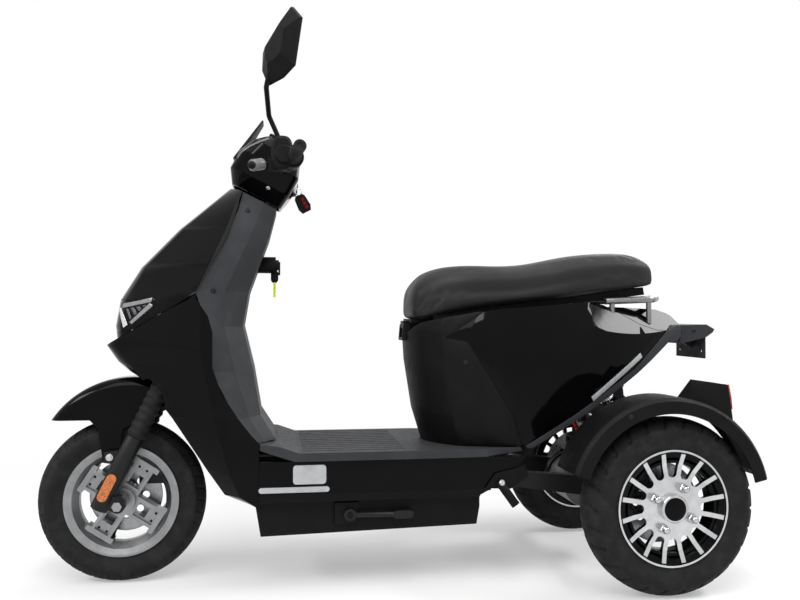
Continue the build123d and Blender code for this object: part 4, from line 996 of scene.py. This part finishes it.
class TRIKE_OT_keys(bpy.types.Operator):
    """Build the ignition key with its tag and the remote on its ring"""

    bl_idname = "trike.keys"
    bl_label = "Key and remote"

    def execute(self, context):
        black = grained_plastic("key_black", colours().moulding)
        tag = grained_plastic("key_tag", colours().tag, (0.3, 0.45))
        steel = satin_metal("ring_steel", (0.6, 0.6, 0.61), (0.15, 0.25))
        bow = [(0.006, 0.0), (0.010, -0.006), (0.010, -0.026), (0.006, -0.033), (-0.006, -0.033)]
        bow += [(-0.010, -0.026), (-0.010, -0.006), (-0.006, 0.0)]
        flat = Matrix(((1, 0, 0, 0), (0, 0, -1, 0), (0, 1, 0, 0), (0, 0, 0, 1)))
        place = Matrix.Translation(at(951, -25, 799)) @ flat
        Shape().prism(bow, place, 0.007, 0.0012).piece("key_bow", black, "chassis", "matte_black")
        ribbon = [(0.003, -0.034), (0.0034, -0.072), (-0.0034, -0.072), (-0.003, -0.034)]
        place = Matrix.Translation(at(951, -27, 799)) @ flat
        Shape().prism(ribbon, place, 0.0025, 0.0005).piece("key_tag", tag, "chassis", "silver_strip")
        self.remote(black, steel, flat)
        return {"FINISHED"}

    def remote(self, black, steel, flat):
        """The fob that hangs from the right-hand control."""
        top = at(884, -178, 1040)
        body = [(0.010, 0.0), (0.016, -0.008), (0.019, -0.040), (0.013, -0.054), (-0.013, -0.054)]
        body += [(-0.019, -0.040), (-0.016, -0.008), (-0.010, 0.0)]
        lean = Matrix.Rotation(math.radians(28), 4, "Y")
        place = Matrix.Translation(top + Vector((0, -0.006, -0.012))) @ lean @ flat
        Shape().prism(body, place, 0.012, 0.002).piece("remote", black, "steering", "matte_black")
        keys = Shape()
        for low in (-0.022, -0.034, -0.046):
            pad = [(-0.001, low + 0.009), (-0.001, low), (-0.009, low), (-0.010, low + 0.009)]
            keys.prism(pad, place @ Matrix.Translation((0, 0, -0.0008)), 0.0136, 0.0004)
        red = grained_plastic("remote_keys", brighter(colours().red, 0.45), (0.3, 0.4))
        keys.piece("remote_keys", red, "steering", "red_lens")
        ring = Shape()
        points = []
        for index in range(25):
            angle = math.tau * index / 24
            points.append(top + Vector((0.009 * math.cos(angle), 0, 0.009 * math.sin(angle) - 0.004)))
        ring.tube(points, 0.0011, 8, capped=False).piece("remote_ring", steel, "steering", "steel")


class TRIKE_OT_fasteners(bpy.types.Operator):
    """Set the bolts and panel screws"""

    bl_idname = "trike.fasteners"
    bl_label = "Bolts and screws"

    # node, body, ahead of the rear axle and up in millimetres, share of the screw's radius, sides, plated
    SPOTS = (
        ("inner_shield", "chassis", 1097, 738, 1.0, 24, False),
        ("inner_shield", "chassis", 1019, 944, 1.0, 24, False),
        ("fork_legs", "steering", 1352, 325, 1.2, 6, True),
        ("seat_box", "chassis", 470, 560, 0.8, 24, False),
        ("tail_fin", "chassis", -200, 640, 0.8, 24, False),
        ("rear_fenders", "chassis", -120, 438, 0.8, 24, False),
        ("rear_fenders", "chassis", 120, 442, 0.8, 24, False),
        ("foot_pegs", "chassis", 386, 262, 1.0, 6, True),
        ("bar_cowl", "steering", 969, 1003, 0.8, 24, True),
    )
    # profiles as shares of the head's radius
    WASHER = ((0.0, 0.0), (1.35, 0.0), (1.35, 0.12), (1.28, 0.2), (0.0, 0.2))
    HEAD = ((0.0, 0.18), (1.0, 0.18), (1.0, 0.6), (0.86, 0.75), (0.5, 0.78), (0.45, 0.35), (0.0, 0.35))

    def execute(self, context):
        bright = satin_metal("bolt_plating", (0.62, 0.62, 0.63), (0.2, 0.32))
        dark = satin_metal("screw_black", (0.02, 0.02, 0.021), (0.32, 0.45), metallic=0.4)
        groups = {}
        for node, body, x, z, scale, count, plated in self.SPOTS:
            radius = sizes().screw * scale
            shape = groups.setdefault((body, plated), Shape())
            for side in (1, -1):
                spot, normal = on_surface(node, at(x, 0, z).x, z / 1000, side)
                self.head(shape, aimed(spot - normal * 0.0004, normal), radius, count)
        for (body, plated), shape in groups.items():
            if plated:
                shape.piece(f"{body}_bolts", bright, body, "steel")
            else:
                shape.piece(f"{body}_screws", dark, body, "frame_paint")
        return {"FINISHED"}

    def head(self, shape, place, radius, count):
        """A bolt or screw head on its washer."""
        for profile, sides in ((self.WASHER, 24), (self.HEAD, count)):
            scaled = [(reach * radius, height * radius) for reach, height in profile]
            shape.lathe(scaled, place, sides)


class TRIKE_OT_cables(bpy.types.Operator):
    """Lay the motor cables"""

    bl_idname = "trike.cables"
    bl_label = "Motor cables"

    # points ahead of the rear axle, to the left and up in millimetres
    RED = ((128, 84, 284), (140, 108, 300), (148, 112, 345), (150, 104, 385), (186, 100, 420), (214, 100, 428))
    CREAM = ((116, 84, 288), (122, 102, 306), (134, 104, 345), (138, 98, 390), (176, 92, 430), (206, 92, 440))
    # colour, diameter in millimetres, points
    RUNS = (("red", 6.0, RED), ("cream", 4.0, CREAM))

    def execute(self, context):
        tint = colours()
        finishes = {
            "red": grained_plastic("cable_red", brighter(tint.red, 1.2), (0.35, 0.45)),
            "cream": grained_plastic("cable_cream", (0.55, 0.53, 0.46), (0.35, 0.45)),
        }
        for name, thickness, run in self.RUNS:
            data = bpy.data.curves.new(f"cable_{name}", "CURVE")
            data.dimensions = "3D"
            spline = data.splines.new("NURBS")
            spline.points.add(len(run) - 1)
            for point, place in zip(spline.points, run):
                point.co = (*at(*place), 1.0)
            spline.order_u = 3
            spline.use_endpoint_u = True
            data.resolution_u = 16
            data.bevel_depth = thickness / 2000
            data.bevel_resolution = 4
            data.use_fill_caps = True
            data.materials.append(finishes[name])
            cable = bpy.data.objects.new(f"cable_{name}", data)
            bpy.context.scene.collection.objects.link(cable)
            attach(cable, "chassis")
        return {"FINISHED"}


class TRIKE_OT_stage(bpy.types.Operator):
    """Set up the floor, the lights and the camera"""

    bl_idname = "trike.stage"
    bl_label = "Studio"

    # name, place, target, width, height in metres, power in watts
    LIGHTS = (
        ("key", (1.6, 3.2, 3.6), (0.0, 0.0, 0.4), 2.6, 2.6, 70.0),
        ("top", (-0.2, 0.2, 4.2), (0.0, 0.0, 0.3), 3.4, 3.4, 40.0),
        ("back", (-2.6, -2.6, 2.6), (0.0, 0.0, 0.5), 2.0, 2.0, 40.0),
        ("rear_strip", (-4.2, 0.75, 4.0), (-0.7, 0.1, 0.6), 2.2, 0.8, 150.0),
        ("long_strip", (0.2, 2.6, 4.2), (0.0, 0.0, 0.5), 0.5, 3.6, 80.0),
        ("front_strip", (3.6, 1.8, 3.0), (0.5, 0.0, 0.6), 2.0, 0.7, 70.0),
    )
    # the camera's yaw, pitch and roll in degrees, and its place in metres
    VIEW = (9.017, 1.102, 0.205)
    STAND = (0.3171, 2.1512, 0.6792)

    def execute(self, context):
        scene = context.scene
        scene.view_settings.view_transform = "Standard"
        self.floor()
        self.world(scene)
        for row in self.LIGHTS:
            self.light(*row)
        self.camera(scene)
        return {"FINISHED"}

    def floor(self):
        """A pale floor that keeps the shadow."""
        shape = bmesh.new()
        bmesh.ops.create_grid(shape, x_segments=8, y_segments=8, size=14.0)
        data = bpy.data.meshes.new("floor")
        shape.to_mesh(data)
        shape.free()
        material, tree, shader, place = start_material("studio_floor", Roughness=0.9, Specular_IOR_Level=0.1)
        base = tuple(colours().floor)
        mottle = blended(tree, noise(tree, place, 1.5), brighter(base, 0.985), brighter(base, 1.015))
        tree.links.new(mottle, shader.inputs["Base Color"])
        away = arrow(tree, "LENGTH", place)["Value"]
        edge = linked(tree, "ShaderNodeMapRange", Value=away)
        edge.interpolation_type = "SMOOTHSTEP"
        edge.inputs["From Min"].default_value = 1.0
        edge.inputs["From Max"].default_value = 2.6
        edge.inputs["To Min"].default_value = 0.35
        white = linked(tree, "ShaderNodeEmission", Strength=1.0)
        share = figure(tree, "MULTIPLY", edge.outputs["Result"], self.seen(tree))
        mixed = linked(tree, "ShaderNodeMixShader", Fac=share)
        tree.links.new(shader.outputs["BSDF"], mixed.inputs[1])
        tree.links.new(white.outputs["Emission"], mixed.inputs[2])
        tree.links.new(mixed.outputs["Shader"], tree.nodes["Material Output"].inputs["Surface"])
        data.materials.append(material)
        floor = bpy.data.objects.new("floor", data)
        bpy.context.scene.collection.objects.link(floor)

    def seen(self, tree):
        """One for what the eye, a reflection or a glass sees, nothing for light."""
        rays = tree.nodes.new("ShaderNodeLightPath").outputs
        either = figure(tree, "MAXIMUM", rays["Is Camera Ray"], rays["Is Glossy Ray"])
        return figure(tree, "MAXIMUM", either, rays["Is Transmission Ray"])

    def world(self, scene):
        """White to the eye and in reflections, softer as a light."""
        world = bpy.data.worlds.new("studio")
        scene.world = world
        world.use_nodes = True
        tree = world.node_tree
        strength = linked(tree, "ShaderNodeMapRange", Value=self.seen(tree))
        strength.inputs["To Min"].default_value = 0.38
        strength.inputs["To Max"].default_value = 1.0
        backdrop = tree.nodes["Background"]
        backdrop.inputs["Color"].default_value = (1.0, 1.0, 1.0, 1.0)
        tree.links.new(strength.outputs["Result"], backdrop.inputs["Strength"])

    def light(self, name, place, target, width, height, power):
        """A soft light with straight sides."""
        data = bpy.data.lights.new(name, "AREA")
        data.shape = "RECTANGLE"
        data.size = width
        data.size_y = height
        data.energy = power
        lamp = bpy.data.objects.new(name, data)
        lamp.location = place
        aim = Vector(target) - Vector(place)
        lamp.rotation_euler = aim.to_track_quat("-Z", "Y").to_euler()
        bpy.context.scene.collection.objects.link(lamp)

    def camera(self, scene):
        """The photograph's view."""
        data = bpy.data.cameras.new("photo_view")
        data.sensor_width = 36.0
        data.lens = 36.0
        yaw, pitch, roll = (math.radians(angle) for angle in self.VIEW)
        right = Vector((-math.cos(yaw), math.sin(yaw), 0))
        ahead = Vector((-math.sin(yaw), -math.cos(yaw), 0))
        up = Vector((0, 0, 1))
        view = ahead * math.cos(pitch) + up * math.sin(pitch)
        rise = up * math.cos(pitch) - ahead * math.sin(pitch)
        side = right * math.cos(roll) + rise * math.sin(roll)
        over = rise * math.cos(roll) - right * math.sin(roll)
        camera = bpy.data.objects.new("photo_view", data)
        turn = Matrix((side, over, -view)).transposed().to_4x4()
        camera.matrix_world = Matrix.Translation(self.STAND) @ turn
        bpy.context.scene.collection.objects.link(camera)
        scene.camera = camera


OPERATORS = (
    TRIKE_OT_finishes,
    TRIKE_OT_tyres,
    TRIKE_OT_wheel_fittings,
    TRIKE_OT_springs,
    TRIKE_OT_seat,
    TRIKE_OT_headlamp,
    TRIKE_OT_grips,
    TRIKE_OT_switches,
    TRIKE_OT_keys,
    TRIKE_OT_fasteners,
    TRIKE_OT_cables,
    TRIKE_OT_stage,
)


class TRIKE_PT_panel(bpy.types.Panel):
    """The trike's pieces in the sidebar"""

    bl_idname = "TRIKE_PT_panel"
    bl_label = "Electric Trike"
    bl_space_type = "VIEW_3D"
    bl_region_type = "UI"
    bl_category = "Trike"

    def draw(self, context):
        for operator in OPERATORS:
            self.layout.operator(operator.bl_idname)
        for group in (context.scene.trike_colours, context.scene.trike_sizes):
            for name in group.__annotations__:
                self.layout.prop(group, name)


CLASSES = (TrikeColours, TrikeSizes, *OPERATORS, TRIKE_PT_panel)


def register():
    """Add the classes and the scene's settings."""
    for kind in CLASSES:
        bpy.utils.register_class(kind)
    bpy.types.Scene.trike_colours = PointerProperty(type=TrikeColours)
    bpy.types.Scene.trike_sizes = PointerProperty(type=TrikeSizes)


def unregister():
    """Remove the classes and the scene's settings."""
    del bpy.types.Scene.trike_sizes
    del bpy.types.Scene.trike_colours
    for kind in reversed(CLASSES):
        bpy.utils.unregister_class(kind)


def main():
    """Build every piece in order."""
    register()
    bpy.ops.trike.stage()
    bpy.ops.trike.finishes()
    bpy.ops.trike.tyres()
    bpy.ops.trike.wheel_fittings()
    bpy.ops.trike.springs()
    bpy.ops.trike.seat()
    bpy.ops.trike.headlamp()
    bpy.ops.trike.grips()
    bpy.ops.trike.switches()
    bpy.ops.trike.keys()
    bpy.ops.trike.fasteners()
    bpy.ops.trike.cables()


if __name__ == "__main__":
    main()
